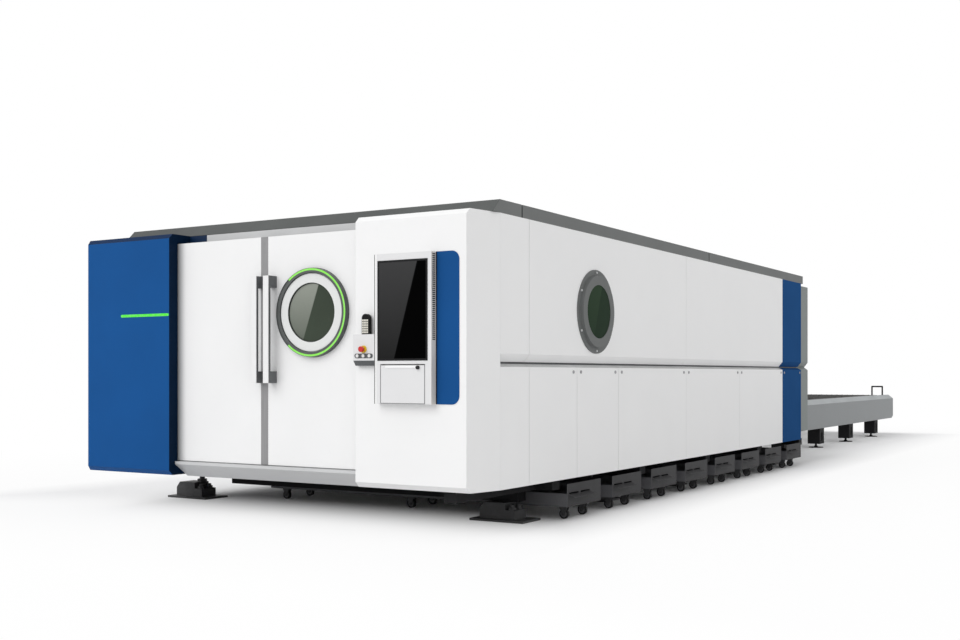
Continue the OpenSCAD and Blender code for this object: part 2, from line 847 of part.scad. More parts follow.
module keyboard_flap() {
    knob = [flap_x[1] - 55, flap_z + flap_h - 16];
    color("white") placed() {
        span(flap_x, [-panel_out, -panel_out + flap_t], [flap_z + flap_t / 2, flap_z + flap_h]);
        disc_x(flap_x, -panel_out + flap_t / 2, flap_z + flap_t / 2, flap_t / 2);
        disc_x([flap_x[0] - pin_reach, flap_x[1] + pin_reach], -panel_out + flap_t / 2, flap_z + flap_t / 2, pin_r);
        disc_y(knob[0], [-panel_out - 14, -panel_out + over], knob[1], 13);
    }
}

module keyboard() {
    x = [flap_x[0] + 22, flap_x[1] - 22];
    y = [-panel_out + flap_t, -panel_out + flap_t + 14];
    z = [flap_z + 45, flap_z + flap_h - 22];
    cols = 14;
    rows = 6;
    step = [(x[1] - x[0] - 12) / cols, (z[1] - z[0] - 12) / rows];
    color("black") placed() {
        span(x, y, z);
        for (c = [0 : cols - 1], r = [0 : rows - 1])
            span([x[0] + 8 + c * step[0], x[0] + 5 + (c + 1) * step[0]], [y[1] - over, y[1] + 4],
                [z[0] + 8 + r * step[1], z[0] + 5 + (r + 1) * step[1]]);
    }
}

module trim_plate() {
    x = [panel_x + panel_w, panel_x + panel_w + trim_w];
    z = [panel_z + 1, panel_z + panel_h + 1];
    r = 60;
    color("royalblue") placed() {
        span([x[0], x[1] - r], [-4, 0], z);
        span([x[1] - r - over, x[1]], [-4, 0], [z[0] + r, z[1] - r]);
        for (c = [z[0] + r, z[1] - r]) disc_y(x[1] - r, [-4, 0], c, r);
    }
}

module button_console() {
    pocket = [console_x[0] + 68, console_x[0] + 133];
    top = console_z + console_h;
    color("white") placed() difference() {
        along_x(console_x) polygon([[-panel_out, console_z], [-panel_out + 27, console_z - 37], [0, console_z - 37],
            [0, top], [-panel_out, top]]);
        span(pocket, [-panel_out + 7, -panel_out + 41], [top - 60, top + over]);
        disc_y(stop_x, [-panel_out - over, -10], stop_z, stop_stem_r + run_gap);
    }
}

// Button bar and the collar under the stop button
module button_plate() {
    x = [stop_x - 64, stop_x + 64];
    r = 16;
    front = [-panel_out - 4, -panel_out];
    color("dimgray") placed() {
        span(x, front, [button_z - r, button_z + r]);
        for (end = x) disc_y(end, front, button_z, r);
        for (p = [-53, 0, 53]) disc_y(stop_x + p, [front[0] - 6, front[0] + over], button_z, 12);
        difference() {
            disc_y(stop_x, [-panel_out - 8, -panel_out], stop_z, 26);
            disc_y(stop_x, [-panel_out - 9, -panel_out + over], stop_z, stop_stem_r + run_gap);
        }
    }
}

module stop_button() {
    head = [-front_reach, -front_reach + 18];
    color("red") placed() {
        disc_y(stop_x, head, stop_z, 20);
        disc_y(stop_x, [head[1] - over, -30], stop_z, stop_stem_r);
    }
}

module hand_remote() {
    x = [console_x[0] + 69, console_x[0] + 132];
    y = [-panel_out + 8, -panel_out + 40];
    z = [console_z + console_h - 60, console_z + console_h + 146];
    r = (x[1] - x[0]) / 2;
    key_z = console_z + console_h + 8;
    color("black") placed() {
        span(x, y, [z[0], z[1] - r]);
        disc_y((x[0] + x[1]) / 2, y, z[1] - r, r);
        for (c = [0 : 3], k = [0 : 5]) span([x[0] + 5 + c * 13.5, x[0] + 16 + c * 13.5],
            [y[0] - 2, y[0] + over], [key_z + k * 17, key_z + 13 + k * 17]);
    }
}

// Gantry, carriage and cutting head

module gantry_beam() {
    x = [-gantry_len / 2, gantry_len / 2];
    y = [gantry_y, gantry_back];
    wall = 14;
    color("silver") placed() {
        difference() {
            span(x, y, [gantry_z, gantry_z + gantry_h]);
            span([x[0] - over, x[1] + over], [y[0] + wall, y[1] - wall],
                [gantry_z + wall, gantry_z + gantry_h - wall]);
            for (i = [-4 : 4]) disc_y(i * gantry_len / 9.75, [y[0] - over, y[0] + wall + over],
                gantry_z + gantry_h / 2, 105);
        }
        for (z = cross_rail_z) span([x[0] + 60, x[1] - 60], [y[1], y[1] + cross_rail[1]],
            [z - cross_rail[0] / 2, z + cross_rail[0] / 2]);
    }
}

module gantry_trucks() {
    x = [beam_x - 90, beam_x + 90];
    pinion_r = 18;
    pinion_x = beam_x + 70 - pinion_r - run_gap;
    motor_y = gantry_y - 90;
    color("dimgray") placed() both_sides() {
        span(x, [gantry_y - 150, gantry_back + 50], [truck_bottom, gantry_z]);
        for (y = [gantry_y - 30, gantry_back - 70]) difference() {
            span([beam_x - 35, beam_x + 35], [y, y + 100], [beam_top + 6, truck_bottom + over]);
            span([beam_x - rail_w / 2 - run_gap, beam_x + rail_w / 2 + run_gap], [y - over, y + 101],
                [beam_top, rail_top + run_gap]);
        }
        // Drive motor with its pinion on the rack
        disc_z(pinion_x, motor_y, [gantry_z - over, gantry_z + 60], 62);
        disc_z(pinion_x, motor_y, [gantry_z + 59, gantry_z + 250], 52);
        disc_z(pinion_x, motor_y, [beam_top + 2, truck_bottom + over], pinion_r);
    }
}

module cross_carriage() {
    x = [-170, 170];
    plate = [carriage_y, carriage_y + 30];
    color("gray") placed() {
        span(x, plate, [gantry_z + 10, gantry_z + gantry_h + 20]);
        for (z = cross_rail_z, c = [-120, 120]) difference() {
            span([c - 45, c + 45], [gantry_back + 4, plate[0] + over], [z - 38, z + 38]);
            span([c - 46, c + 46], [gantry_back, gantry_back + cross_rail[1] + run_gap],
                [z - cross_rail[0] / 2 - run_gap, z + cross_rail[0] / 2 + run_gap]);
        }
        for (s = [-1, 1]) span([s * z_rail_x - 10, s * z_rail_x + 10], [plate[1] - over, plate[1] + 18],
            [gantry_z + 20, gantry_z + gantry_h + 10]);
    }
}

module cutting_head() {
    plate = [slide_y, slide_y + 20];
    guide = carriage_y + 30;
    z = gantry_z + 80;
    color("lightsteelblue") placed() {
        span([-135, 135], plate, [z, z + 260]);
        for (s = [-1, 1], b = [z + 20, z + 180]) difference() {
            span([s * z_rail_x - 28, s * z_rail_x + 28], [guide + 4, plate[0] + over], [b, b + 60]);
            span([s * z_rail_x - 10 - run_gap, s * z_rail_x + 10 + run_gap], [guide, guide + 18 + run_gap],
                [b - over, b + 61]);
        }
        // Collimator, focusing unit and nozzle stacked along the beam path
        span([-55, 55], [plate[1] - over, head_y], [z + 20, z + 150]);
        translate([0, head_y, 0]) {
            translate([-58, -58, z]) cube([116, 116, 150]);
            translate([0, 0, z + 149]) cylinder(h = 110, r = 46);
            translate([0, 0, z + 258]) cylinder(h = 60, r = 32);
            translate([0, 0, z - 79]) cylinder(h = 80, r1 = 30, r2 = 50);
            translate([0, 0, nozzle_z + 24]) cylinder(h = z - 78 - nozzle_z - 24, r = 22);
            translate([0, 0, nozzle_z]) cylinder(h = 25, r1 = 7, r2 = 16);
        }
    }
}

// Pallets with toothed slats

module pallet_frame(y0, rail) {
    y = [y0, y0 + pallet_len];
    z = [rail + channel_z[0], rail + channel_z[1]];
    inner = pallet_x - channel_w;
    both_sides() difference() {
        span([inner, pallet_x], y, z);
        span([inner + 8, pallet_x + over], [y[0] - over, y[1] + over], [z[0] + 8, z[1] - 8]);
    }
    for (e = [y[0], y[1] - 60]) span([-inner - over, inner + over], [e, e + 60], z);
    for (x = [-600, 0, 600]) span([x - 20, x + 20], [y[0] + 59, y[1] - 59], [z[0], rail + slat_foot]);
    // Wheels run on the rails outside the channels
    both_sides() for (w = wheel_y) {
        disc_x([inner + 4, ledge_in + 2], y0 + w, rail + pallet_wheel_r + run_gap, 12);
        disc_x([ledge_in + 1, ledge_in + 31], y0 + w, rail + pallet_wheel_r + run_gap, pallet_wheel_r);
    }
}

// Row of teeth along the top of a slat, drawn from right to left
function teeth() = [for (i = [0 : tooth_count - 1], p = [[0, 0], [0.44, 1], [0.56, 1]])
    [tooth_count * tooth_pitch / 2 - (i + p[0]) * tooth_pitch, slat_base + p[1] * tooth_h]];

module slats(y0, rail) {
    outline = concat([[-slat_x, 0], [slat_x, 0], [slat_x, slat_base]], teeth(), [[-slat_x, slat_base]]);
    for (i = [0 : slat_count - 1]) {
        y = y0 + pallet_len / 2 + (i - (slat_count - 1) / 2) * slat_pitch;
        along_y([y, y + slat_t]) translate([0, rail + slat_foot]) polygon(outline);
    }
}

module upper_pallet() {
    color("black") placed() pallet_frame(pallet_out_start, upper_rail_z);
}

module upper_slats() {
    color("dimgray") placed() slats(pallet_out_start, upper_rail_z);
}

module lower_pallet() {
    color("black") placed() pallet_frame(pallet_start, lower_rail_z);
}

module lower_slats() {
    color("dimgray") placed() slats(pallet_start, lower_rail_z);
}

// Exchange table

function beam_outline(i) = [[table_in + i, table_bottom + i], [table_x - i, table_bottom + i],
    [table_x - i, table_top - 70 - 0.4 * i], [table_x - table_bevel - 0.4 * i, table_top - i],
    [table_in + i, table_top - i]];

// One side beam, bored for the drive shaft as far as the given X
module table_beam(bore_end) {
    nose = 120;
    side = [[table_start, table_bottom - over], [table_end - nose, table_bottom - over],
        [table_end, table_bottom + 45], [table_end, table_top - 75], [table_end - nose, table_top + over],
        [table_start, table_top + over]];
    difference() {
        union() {
            difference() {
                intersection() {
                    along_y([table_start, table_end]) polygon(beam_outline(0));
                    along_x([table_in - over, table_x + over]) polygon(side);
                }
                along_y([table_start + table_sheet, table_end - nose]) polygon(beam_outline(table_sheet));
            }
            // Flange bearing of the drive shaft
            disc_x([table_in - 18, table_in + over], shaft_y, chain_z, 48);
        }
        disc_x([table_in - 20, bore_end], shaft_y, chain_z, shaft_r + run_gap);
    }
}

module table_beams() {
    color("gray") placed() {
        table_beam(table_in + 40);
        mirror([1, 0, 0]) table_beam(table_x + over);
    }
}

module table_cross_tubes() {
    z = [table_bottom + 17, table_bottom + 97];
    bar_r = 14;
    post_x = [table_in - 156, table_in + 34];
    bracket_z = [table_top - 58, table_top - 30];
    top = table_top + 175 - bar_r;
    color("black") placed() {
        for (y = concat([table_start + 120], leg_y, [stop_bar_y]))
            tube_x([-table_in, table_in], [y - 40, y + 40], z, 6);
        // Stop hoops at the end of the table, each with a bracket on its beam
        both_sides() {
            span([post_x[0] - bar_r, table_in], [stop_bar_y - bar_r, stop_bar_y + bar_r], bracket_z);
            disc_z(post_x[0], stop_bar_y, [bracket_z[0], top], bar_r);
            disc_z(post_x[1], stop_bar_y, [table_top, top], bar_r);
            disc_x(post_x, stop_bar_y, top, bar_r);
            for (x = post_x) translate([x, stop_bar_y, top]) sphere(r = bar_r);
        }
    }
}

module table_legs() {
    wall = 10;
    x = [table_x - leg_size[0], table_x];
    middle = (x[0] + x[1]) / 2;
    color("black") placed() both_sides() for (y = leg_y) {
        difference() {
            span(x, [y - leg_size[1] / 2, y + leg_size[1] / 2], [leg_bottom, table_bottom]);
            span([x[0] + wall, x[1] - wall], [y - leg_size[1] / 2 + wall, y + leg_size[1] / 2 - wall],
                [leg_bottom + wall, table_bottom - wall]);
            // Rounded access slot in the outer side
            for (z = [leg_bottom + 70, leg_bottom + 160]) disc_x([x[1] - wall - over, x[1] + over], y, z, 32);
            span([x[1] - wall - over, x[1] + over], [y - 32, y + 32], [leg_bottom + 70, leg_bottom + 160]);
        }
        disc_z(middle, y, [5, leg_bottom + over], 16);
        disc_z(middle, y, [0, 10], 110);
        translate([middle, y, 9]) cylinder(h = 18, r = 30, $fn = 6);
    }
}

module drive_shaft() {
    color("silver") placed() {
        disc_x([-table_x - 40, table_in + 60], shaft_y, chain_z, shaft_r);
        for (s = [-1, 1]) disc_x([s * chain_x - chain_w / 2, s * chain_x + chain_w / 2], shaft_y, chain_z,
            chain_r - run_gap);
    }
}

module drive_motor() {
    x = -table_x;
    color("steelblue") placed() difference() {
        union() {
            span([x - 150, x], [shaft_y - 90, shaft_y + 90], [chain_z - 110, chain_z + 110]);
            disc_x([x - 200, x - 149], shaft_y, chain_z - 20, 80);
            disc_x([x - 420, x - 199], shaft_y, chain_z - 20, 95);
            for (a = [0 : 30 : 330]) translate([0, shaft_y, chain_z - 20]) rotate([a, 0, 0])
                span([x - 410, x - 220], [-3, 3], [90, 106]);
        }
        disc_x([x - 60, x + over], shaft_y, chain_z, shaft_r + run_gap);
    }
}

// Chain loop: its upper run draws the upper pallet, its lower run the lower one
module chain_loop(r) {
    hull_y = [chain_front, shaft_y];
    span([chain_x - chain_w / 2, chain_x + chain_w / 2], hull_y, [chain_z - r, chain_z + r]);
    for (y = hull_y) disc_x([chain_x - chain_w / 2, chain_x + chain_w / 2], y, chain_z, r);
}

module drive_chains() {
    color("dimgray") placed() both_sides() difference() {
        chain_loop(chain_r + chain_t);
        translate([-over, 0, 0]) chain_loop(chain_r);
        translate([over, 0, 0]) chain_loop(chain_r);
    }
}

// Slag carts

module caster(x, y) {
    top = tray_bottom;
    axle_r = 8;
    half = caster_w / 2;
    side = [[axle_r + run_gap, half], [14, half], [16, half - 6], [28, half - 6], [30, half],
        [caster_r - 4, half], [caster_r, half - 4]];
    span([x - 45, x + 45], [y - 38, y + 38], [top - 5, top]);
    for (s = [-1, 1]) along_y([y + s * (half + 4) - 3, y + s * (half + 4) + 3]) polygon([[x - 38, top - 4],
        [x - 11, caster_r - 12], [x + 11, caster_r - 12], [x + 38, top - 4]]);
    disc_y(x, [y - half - 11, y + half + 11], caster_r, axle_r);
    // Wheel with a dished hub
    translate([x, y, caster_r]) rotate([90, 0, 0]) rotate_extrude()
        polygon(concat(side, [for (k = [6 : -1 : 0]) [side[k][0], -side[k][1]]]));
}

module slag_cart(i) {
    y = [cart_y[i], cart_y[i] + cart_w];
    rim = tray_bottom + tray_h;
    slot_r = 7;
    lip_y = [y[0] + 28, y[0] + 400];
    difference() {
        union() {
            span([cart_left, cart_right], y, [tray_bottom, rim]);
            span([cart_right - cart_sheet, cart_right], y, [tray_bottom, pull_top]);
        }
        span([cart_left + cart_sheet, cart_right - cart_sheet], [y[0] + cart_sheet, y[1] - cart_sheet],
            [tray_bottom + cart_sheet, rim + over]);
        // Two hand slots below the pull plate
        for (s = [[lip_y[0], lip_y[0] + 172], [lip_y[1] - 172, lip_y[1]]]) {
            span([cart_right - cart_sheet - over, cart_right + over], [s[0] + slot_r, s[1] - slot_r],
                [rim - slot_r, rim + slot_r]);
            for (c = [s[0] + slot_r, s[1] - slot_r]) disc_x([cart_right - cart_sheet - over, cart_right + over],
                c, rim, slot_r);
        }
    }
    // Folded lip to pull on
    along_y(lip_y) polygon([[cart_right - over, rim - 12], [half_reach, rim - 30],
        [half_reach, rim - 26], [cart_right - over, rim - 8]]);
    for (x = caster_x, w = [caster_inset, cart_w - caster_inset]) caster(x, y[0] + w);
}

module cart(i) {
    color("dimgray") placed() slag_cart(i);
}

bed_beams();
bed_cross_tubes();
levelling_feet();
gantry_rails();
pallet_rails();
wall_frames();
left_wall_panels();
right_wall_panels();
rear_stripe_panels();
panel_locks();
roof_panels();
side_window_frame();
side_window_glass();
rear_collar();
rear_gate();
front_left_cover();
cover_light_strip();
front_right_cover();
door_header();
door_threshold();
left_door();
left_door_edge();
left_handle();
right_door();
right_handle();
window_dish();
window_rim();
window_glass();
window_light();
panel_case();
panel_screen();
keyboard_flap();
keyboard();
trim_plate();
button_console();
button_plate();
stop_button();
hand_remote();
gantry_beam();
gantry_trucks();
cross_carriage();
cutting_head();
upper_pallet();
upper_slats();
lower_pallet();
lower_slats();
table_beams();
table_cross_tubes();
table_legs();
drive_shaft();
drive_motor();
drive_chains();
cart(0);  // slag_cart_1
cart(1);  // slag_cart_2
cart(2);  // slag_cart_3
cart(3);  // slag_cart_4
cart(4);  // slag_cart_5
cart(5);  // slag_cart_6
cart(6);  // slag_cart_7
cart(7);  // slag_cart_8
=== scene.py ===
import math

import bmesh
import bpy
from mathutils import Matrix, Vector


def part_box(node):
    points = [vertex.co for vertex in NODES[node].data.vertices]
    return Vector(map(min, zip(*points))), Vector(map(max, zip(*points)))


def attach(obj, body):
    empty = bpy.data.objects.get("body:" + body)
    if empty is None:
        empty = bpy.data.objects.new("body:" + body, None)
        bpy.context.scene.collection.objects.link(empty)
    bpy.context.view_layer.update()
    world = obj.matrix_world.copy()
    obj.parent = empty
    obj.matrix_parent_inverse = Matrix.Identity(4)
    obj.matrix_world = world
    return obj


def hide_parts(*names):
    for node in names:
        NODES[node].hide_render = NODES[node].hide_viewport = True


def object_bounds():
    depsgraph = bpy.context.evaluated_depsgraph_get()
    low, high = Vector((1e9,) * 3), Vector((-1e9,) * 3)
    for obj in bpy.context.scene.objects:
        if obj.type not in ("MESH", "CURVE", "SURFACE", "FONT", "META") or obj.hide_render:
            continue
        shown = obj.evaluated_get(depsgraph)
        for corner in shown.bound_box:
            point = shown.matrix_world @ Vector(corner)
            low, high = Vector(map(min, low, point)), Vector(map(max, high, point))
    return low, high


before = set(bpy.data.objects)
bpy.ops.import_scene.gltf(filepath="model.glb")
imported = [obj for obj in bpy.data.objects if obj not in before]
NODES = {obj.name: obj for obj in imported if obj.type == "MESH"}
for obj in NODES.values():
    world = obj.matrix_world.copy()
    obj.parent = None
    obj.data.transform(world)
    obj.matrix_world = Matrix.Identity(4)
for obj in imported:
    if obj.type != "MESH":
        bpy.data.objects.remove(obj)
CAD_BOX = [list(corner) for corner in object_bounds()]

# Lengths are in metres, colours are linear red, green and blue.

X, Y, Z = range(3)
WHITE = (1.0, 1.0, 1.0, 1.0)

# Front of the covers; the machine's foremost point stands 0.1 ahead of it
FRONT_Y = CAD_BOX[0][1] + 0.1

# A face counts as turned to a side when its normal has more than this part that way
TURNED = 0.3

# Lower slope of the groove along the walls, which carries painted shade
GROOVE_LOW, GROOVE_HIGH = 1.2006, 1.2245

# Outer edge of the seal in the door window's dish
SEAL_R = 0.2225

# Casters of a slag cart: places along it, inset from its sides, and sizes
CASTER_X = (1.88, 0.41, -0.98)
CASTER_INSET = 0.137
CASTER_TOP = 0.1035
WHEEL_R, WHEEL_HALF, HUB_R = 0.04, 0.0153, 0.029

# Roller chain: room round its pitch line, its width, the waisted plates and the rollers
CHAIN_ROOM, CHAIN_WIDTH = 0.005, 0.016
PLATE_END, PLATE_HALF, PLATE_WAIST, PLATE_T = 0.0032, 0.0046, 0.0034, 0.0011
INNER_PLATE, OUTER_PLATE = 0.0045, 0.0068
ROLLER_R, ROLLER_HALF, ROLLER_SIDES = 0.0042, 0.0044, 8

# Coats of sheet paint that several parts share
PANEL_COAT = {"roughness": 0.4, "radius": 0.004, "wear": 0.1, "cloud": 0.018, "gloss": 0.2}
TRIM_COAT = {"roughness": 0.42, "radius": 0.003, "wear": 0.15, "cloud": 0.06, "gloss": 0.2}
CASE_COAT = {"roughness": 0.38, "radius": 0.003, "wear": 0.12, "cloud": 0.02, "gloss": 0.2}
CASE_WHITE = (0.75, 0.75, 0.755)

bl_info = {
    "name": "Enclosed Sheet Cutter Looks",
    "version": (1, 0, 0),
    "blender": (4, 5, 0),
    "location": "View3D > Sidebar > Sheet Cutter",
    "description": "Finishes, small fittings and a studio for an enclosed sheet laser cutter",
    "category": "Object",
}


# Finishes: shader maths as Python expressions


class Wire:
    """One socket in a finish; arithmetic on it adds Math nodes."""

    def __init__(self, finish, socket):
        self.finish = finish
        self.socket = socket

    def _math(self, operation, first, second, clamp=False):
        settings = {"operation": operation, "use_clamp": clamp}
        return self.finish.node("ShaderNodeMath", settings, {0: first, 1: second})

    def __add__(self, other):
        return self._math("ADD", self, other)

    __radd__ = __add__

    def __sub__(self, other):
        return self._math("SUBTRACT", self, other)

    def __rsub__(self, other):
        return self._math("SUBTRACT", other, self)

    def __mul__(self, other):
        return self._math("MULTIPLY", self, other)

    __rmul__ = __mul__

    def __truediv__(self, other):
        return self._math("DIVIDE", self, other)

    def __pow__(self, other):
        return self._math("POWER", self, other)

    def __mod__(self, other):
        return self._math("FLOORED_MODULO", self, other)

    def __lt__(self, other):
        return self._math("LESS_THAN", self, other)

    def __gt__(self, other):
        return self._math("GREATER_THAN", self, other)

    def __abs__(self):
        return self._math("ABSOLUTE", self, 0.0)

    def held(self):
        """The value kept between 0 and 1."""
        return self._math("ADD", self, 0.0, clamp=True)

    def either(self, other):
        """The larger value; of two masks, where at least one is 1."""
        return self._math("MAXIMUM", self, other)

    def ramp(self, low, high):
        """0 below low, 1 above high, a straight line between."""
        limits = {"Value": self, "From Min": low, "From Max": high}
        return self.finish.node("ShaderNodeMapRange", {"clamp": True}, limits)

    def drift(self):
        """The usual span of a noise, stretched from 0 to 1."""
        return self.ramp(0.3, 0.7)


class Finish:
    """The nodes of a material, or of the world if one is given, under construction."""

    def __init__(self, name, world=None):
        self.owner = world or bpy.data.materials.new(name)
        self.owner.use_nodes = True
        self.tree = self.owner.node_tree
        self.tree.nodes.clear()
        kind = "ShaderNodeOutputWorld" if world else "ShaderNodeOutputMaterial"
        self.output = self.tree.nodes.new(kind)
        self._place = None

    def node(self, kind, settings=None, inputs=None, out=0):
        """Adds a node with its settings, values and links, and gives one of its outputs."""
        made = self.tree.nodes.new(kind)
        for key, value in (settings or {}).items():
            setattr(made, key, value)
        for key, value in (inputs or {}).items():
            if isinstance(value, Wire):
                self.tree.links.new(value.socket, made.inputs[key])
            else:
                made.inputs[key].default_value = value
        return Wire(self, made.outputs[out])

    def place(self):
        """Position on the machine in metres, which moves with the piece."""
        if self._place is None:
            self._place = self.node("ShaderNodeTexCoord", out="Object")
        return self._place

    def flat(self):
        """The face's own normal."""
        return self.node("ShaderNodeNewGeometry", out="True Normal")

    def parts(self, vector):
        """The x, y and z parts of a vector."""
        split = self.node("ShaderNodeSeparateXYZ", inputs={0: vector}).socket.node
        return [Wire(self, socket) for socket in split.outputs]

    def axes(self):
        return self.parts(self.place())

    def facing(self):
        return self.parts(self.flat())

    def noise(self, scale, detail, rough, where=None):
        return self.node("ShaderNodeTexNoise", {"noise_dimensions": "3D"},
                         {"Vector": where or self.place(), "Scale": scale,
                          "Detail": detail, "Roughness": rough})

    def grain(self, scale):
        return self.node("ShaderNodeTexVoronoi", {"feature": "F1"},
                         {"Vector": self.place(), "Scale": scale}, out="Distance")

    def blend(self, factor, first, second):
        """Goes from the first colour to the second; a Mix node has these in sockets 6 and 7."""
        first, second = (c if isinstance(c, Wire) else rgba(c) for c in (first, second))
        return self.node("ShaderNodeMix", {"data_type": "RGBA"},
                         {0: factor, 6: first, 7: second}, out=2)

    def rounded(self, radius):
        return self.node("ShaderNodeBevel", {"samples": 4}, {"Radius": radius})

    def edges(self, soft):
        """1 along the sharp edges that the soft normal rounds, 0 on the faces."""
        same = self.node("ShaderNodeVectorMath", {"operation": "DOT_PRODUCT"},
                         {0: soft, 1: self.flat()}, out="Value")
        return ((1.0 - same) * 3.2).held()

    def bump(self, height, distance, strength, normal=None):
        inputs = {"Height": height, "Distance": distance, "Strength": strength}
        if normal is not None:
            inputs["Normal"] = normal
        return self.node("ShaderNodeBump", inputs=inputs)

    def close(self, colour, roughness, metallic=0.0, normal=None, **fixed):
        """Ends in a Principled shader; fixed values go straight on its sockets."""
        inputs = {"Base Color": colour, "Roughness": roughness, "Metallic": metallic}
        if normal is not None:
            inputs["Normal"] = normal
        inputs.update({key.replace("_", " "): value for key, value in fixed.items()})
        return self.end(self.node("ShaderNodeBsdfPrincipled", inputs=inputs))

    def end(self, shader):
        self.tree.links.new(shader.socket, self.output.inputs["Surface"])
        return self.owner


def rgba(colour, factor=1.0, lift=0.0):
    return tuple(min(1.0, c * factor + lift) for c in colour[:3]) + (1.0,)


def square(u, v):
    """Squared distance from the point where both are 0."""
    return u * u + v * v


def any_of(masks):
    """Where at least one of the masks is 1."""
    found, *others = masks
    for mask in others:
        found = found.either(mask)
    return found


def sheet_paint(name, colour, patch=None, *, roughness, radius, wear, cloud, gloss):
    """Sprayed sheet metal: soft folds, faint clouding, fine peel and slightly rubbed edges.

    A patch gives masks and colours of places that are painted differently."""
    f = Finish(name)
    soft = f.rounded(radius)
    rub = f.edges(soft)
    cloudy = f.noise(1.7, 4.0, 0.55)
    fine = f.noise(38.0, 2.0, 0.5)
    tone = f.blend(cloudy.drift(), rgba(colour, 1.0 - cloud), colour)
    tone = f.blend(fine.ramp(0.62, 0.8) * 0.12, tone, rgba(colour, 0.88))
    tone = f.blend(rub * wear, tone, rgba(colour, 0.5, 0.42))
    for where, second in patch(f) if patch else ():
        other = f.blend(cloudy.drift(), rgba(second, 0.85), rgba(second, 1.1))
        tone = f.blend(where, tone, other)
    peel = f.bump(f.noise(620.0, 2.0, 0.5), 0.0004, 0.35, soft)
    rough = roughness + 0.10 * (cloudy - 0.5) + 0.06 * fine
    return f.close(tone, rough, 0.0, peel, Specular_IOR_Level=gloss)


def frame_paint(name, colour, roughness, dust, gloss=0.2):
    """Thick enamel on welded tube, dusty on top and chipped along its edges."""
    f = Finish(name)
    dust_grey, chip_grey = (0.26, 0.25, 0.24), (0.24, 0.235, 0.23)
    soft = f.rounded(0.005)
    rub = f.edges(soft)
    spots = f.noise(14.0, 5.0, 0.65)
    settled = (f.facing()[Z].ramp(0.3, 0.9) * spots.ramp(0.35, 0.7)) * dust
    tone = f.blend(spots.ramp(0.25, 0.75), rgba(colour, 0.78), rgba(colour, 1.12))
    tone = f.blend(settled, tone, dust_grey)
    chips = (rub * f.noise(90.0, 3.0, 0.6).ramp(0.52, 0.62)).held()
    tone = f.blend(chips * 0.7, tone, chip_grey)
    skin = f.bump(f.noise(240.0, 3.0, 0.55), 0.0006, 0.4, soft)
    rough = roughness + 0.2 * settled + 0.08 * spots
    return f.close(tone, rough, chips * 0.5, skin, Specular_IOR_Level=gloss)


def ground_steel(name, colour, along, roughness):
    """Ground or drawn steel with fine lines along one axis."""
    f = Finish(name)
    squeeze = [240.0, 240.0, 240.0]
    squeeze[along] = 3.0
    drawn = f.node("ShaderNodeVectorMath", {"operation": "MULTIPLY"}, {0: f.place(), 1: squeeze})
    lines = f.noise(1.0, 3.0, 0.6, drawn)
    film = f.noise(6.0, 4.0, 0.6)
    soft = f.rounded(0.0015)
    tone = f.blend(lines.drift(), rgba(colour, 0.82), rgba(colour, 1.08))
    tone = f.blend(film.ramp(0.5, 0.8) * 0.35, tone, rgba(colour, 0.6))
    rough = roughness + 0.18 * lines + 0.12 * film
    return f.close(tone, rough, 0.92, f.bump(lines, 0.0002, 0.3, soft))


def cut_plate(name, low, high):
    """Mild steel slats: mill scale below, scorched flanks and spatter towards the tips, all in
    tones darkened further as painted shade between the slats.
    """
    f = Finish(name)
    # the slat tones, scorched tips too, are partly painted shade, kept dark for the shade between
    # the slats
    scale_shade_dark, scale_shade_pale = (0.035, 0.034, 0.033), (0.075, 0.073, 0.071)
    scorched, spattered = (0.13, 0.128, 0.125), (0.02, 0.018, 0.017)
    height = f.axes()[Z].ramp(low, high)
    scale = f.noise(9.0, 5.0, 0.65)
    spatter = f.grain(160.0).ramp(0.34, 0.12)
    tone = f.blend(scale.drift(), scale_shade_dark, scale_shade_pale)
    tone = f.blend((height * scale.ramp(0.25, 0.6)).held() * 0.8, tone, scorched)
    tone = f.blend(spatter * height * 0.6, tone, spattered)
    rough = 0.62 - 0.16 * height + 0.15 * spatter
    return f.close(tone, rough, 0.35, f.bump(spatter + scale, 0.001, 0.5))


def cast_body(name, colour, roughness, metallic):
    """Machined or die-cast housings with a light bead-blast."""
    f = Finish(name)
    soft = f.rounded(0.003)
    rub = f.edges(soft)
    blast = f.noise(420.0, 2.0, 0.5)
    cloud = f.noise(5.0, 4.0, 0.6)
    tone = f.blend(cloud.drift(), rgba(colour, 0.88), rgba(colour, 1.06))
    tone = f.blend(rub * 0.4, tone, rgba(colour, 0.4, 0.45))
    rough = roughness + 0.1 * cloud - 0.12 * rub
    return f.close(tone, rough, metallic, f.bump(blast, 0.0003, 0.35, soft))


def moulded(name, colour, roughness, spark=260.0, gloss=0.5):
    """Moulded plastic with a fine spark-eroded grain."""
    f = Finish(name)
    soft = f.rounded(0.0012)
    touch = f.noise(22.0, 3.0, 0.5)
    tone = f.blend(touch.drift(), rgba(colour, 0.9), rgba(colour, 1.06))
    texture = f.bump(f.grain(spark), 0.0002, 0.3, soft)
    return f.close(tone, roughness + 0.1 * touch, 0.0, texture, Specular_IOR_Level=gloss)


def dark_glass(name, colour, painted_reflection, streak, gloss):
    """Laser-safe window glass: deep tint, a slow change of depth and a painted reflection on one
    side.
    """
    f = Finish(name)
    depth = f.noise(2.2, 2.0, 0.4)
    film = f.noise(30.0, 3.0, 0.5)
    tone = f.blend(depth.drift(), rgba(colour, 0.9), rgba(colour, 1.1))
    # painted reflection on one side of the glass
    where, reflected_colour = painted_reflection(f)
    tone = f.blend(where, tone, reflected_colour)
    tone = f.blend(film.ramp(0.55, 0.85) * streak, tone, rgba(colour, 1.0, 0.05))
    return f.close(tone, 0.07 + 0.06 * film, Specular_IOR_Level=gloss)


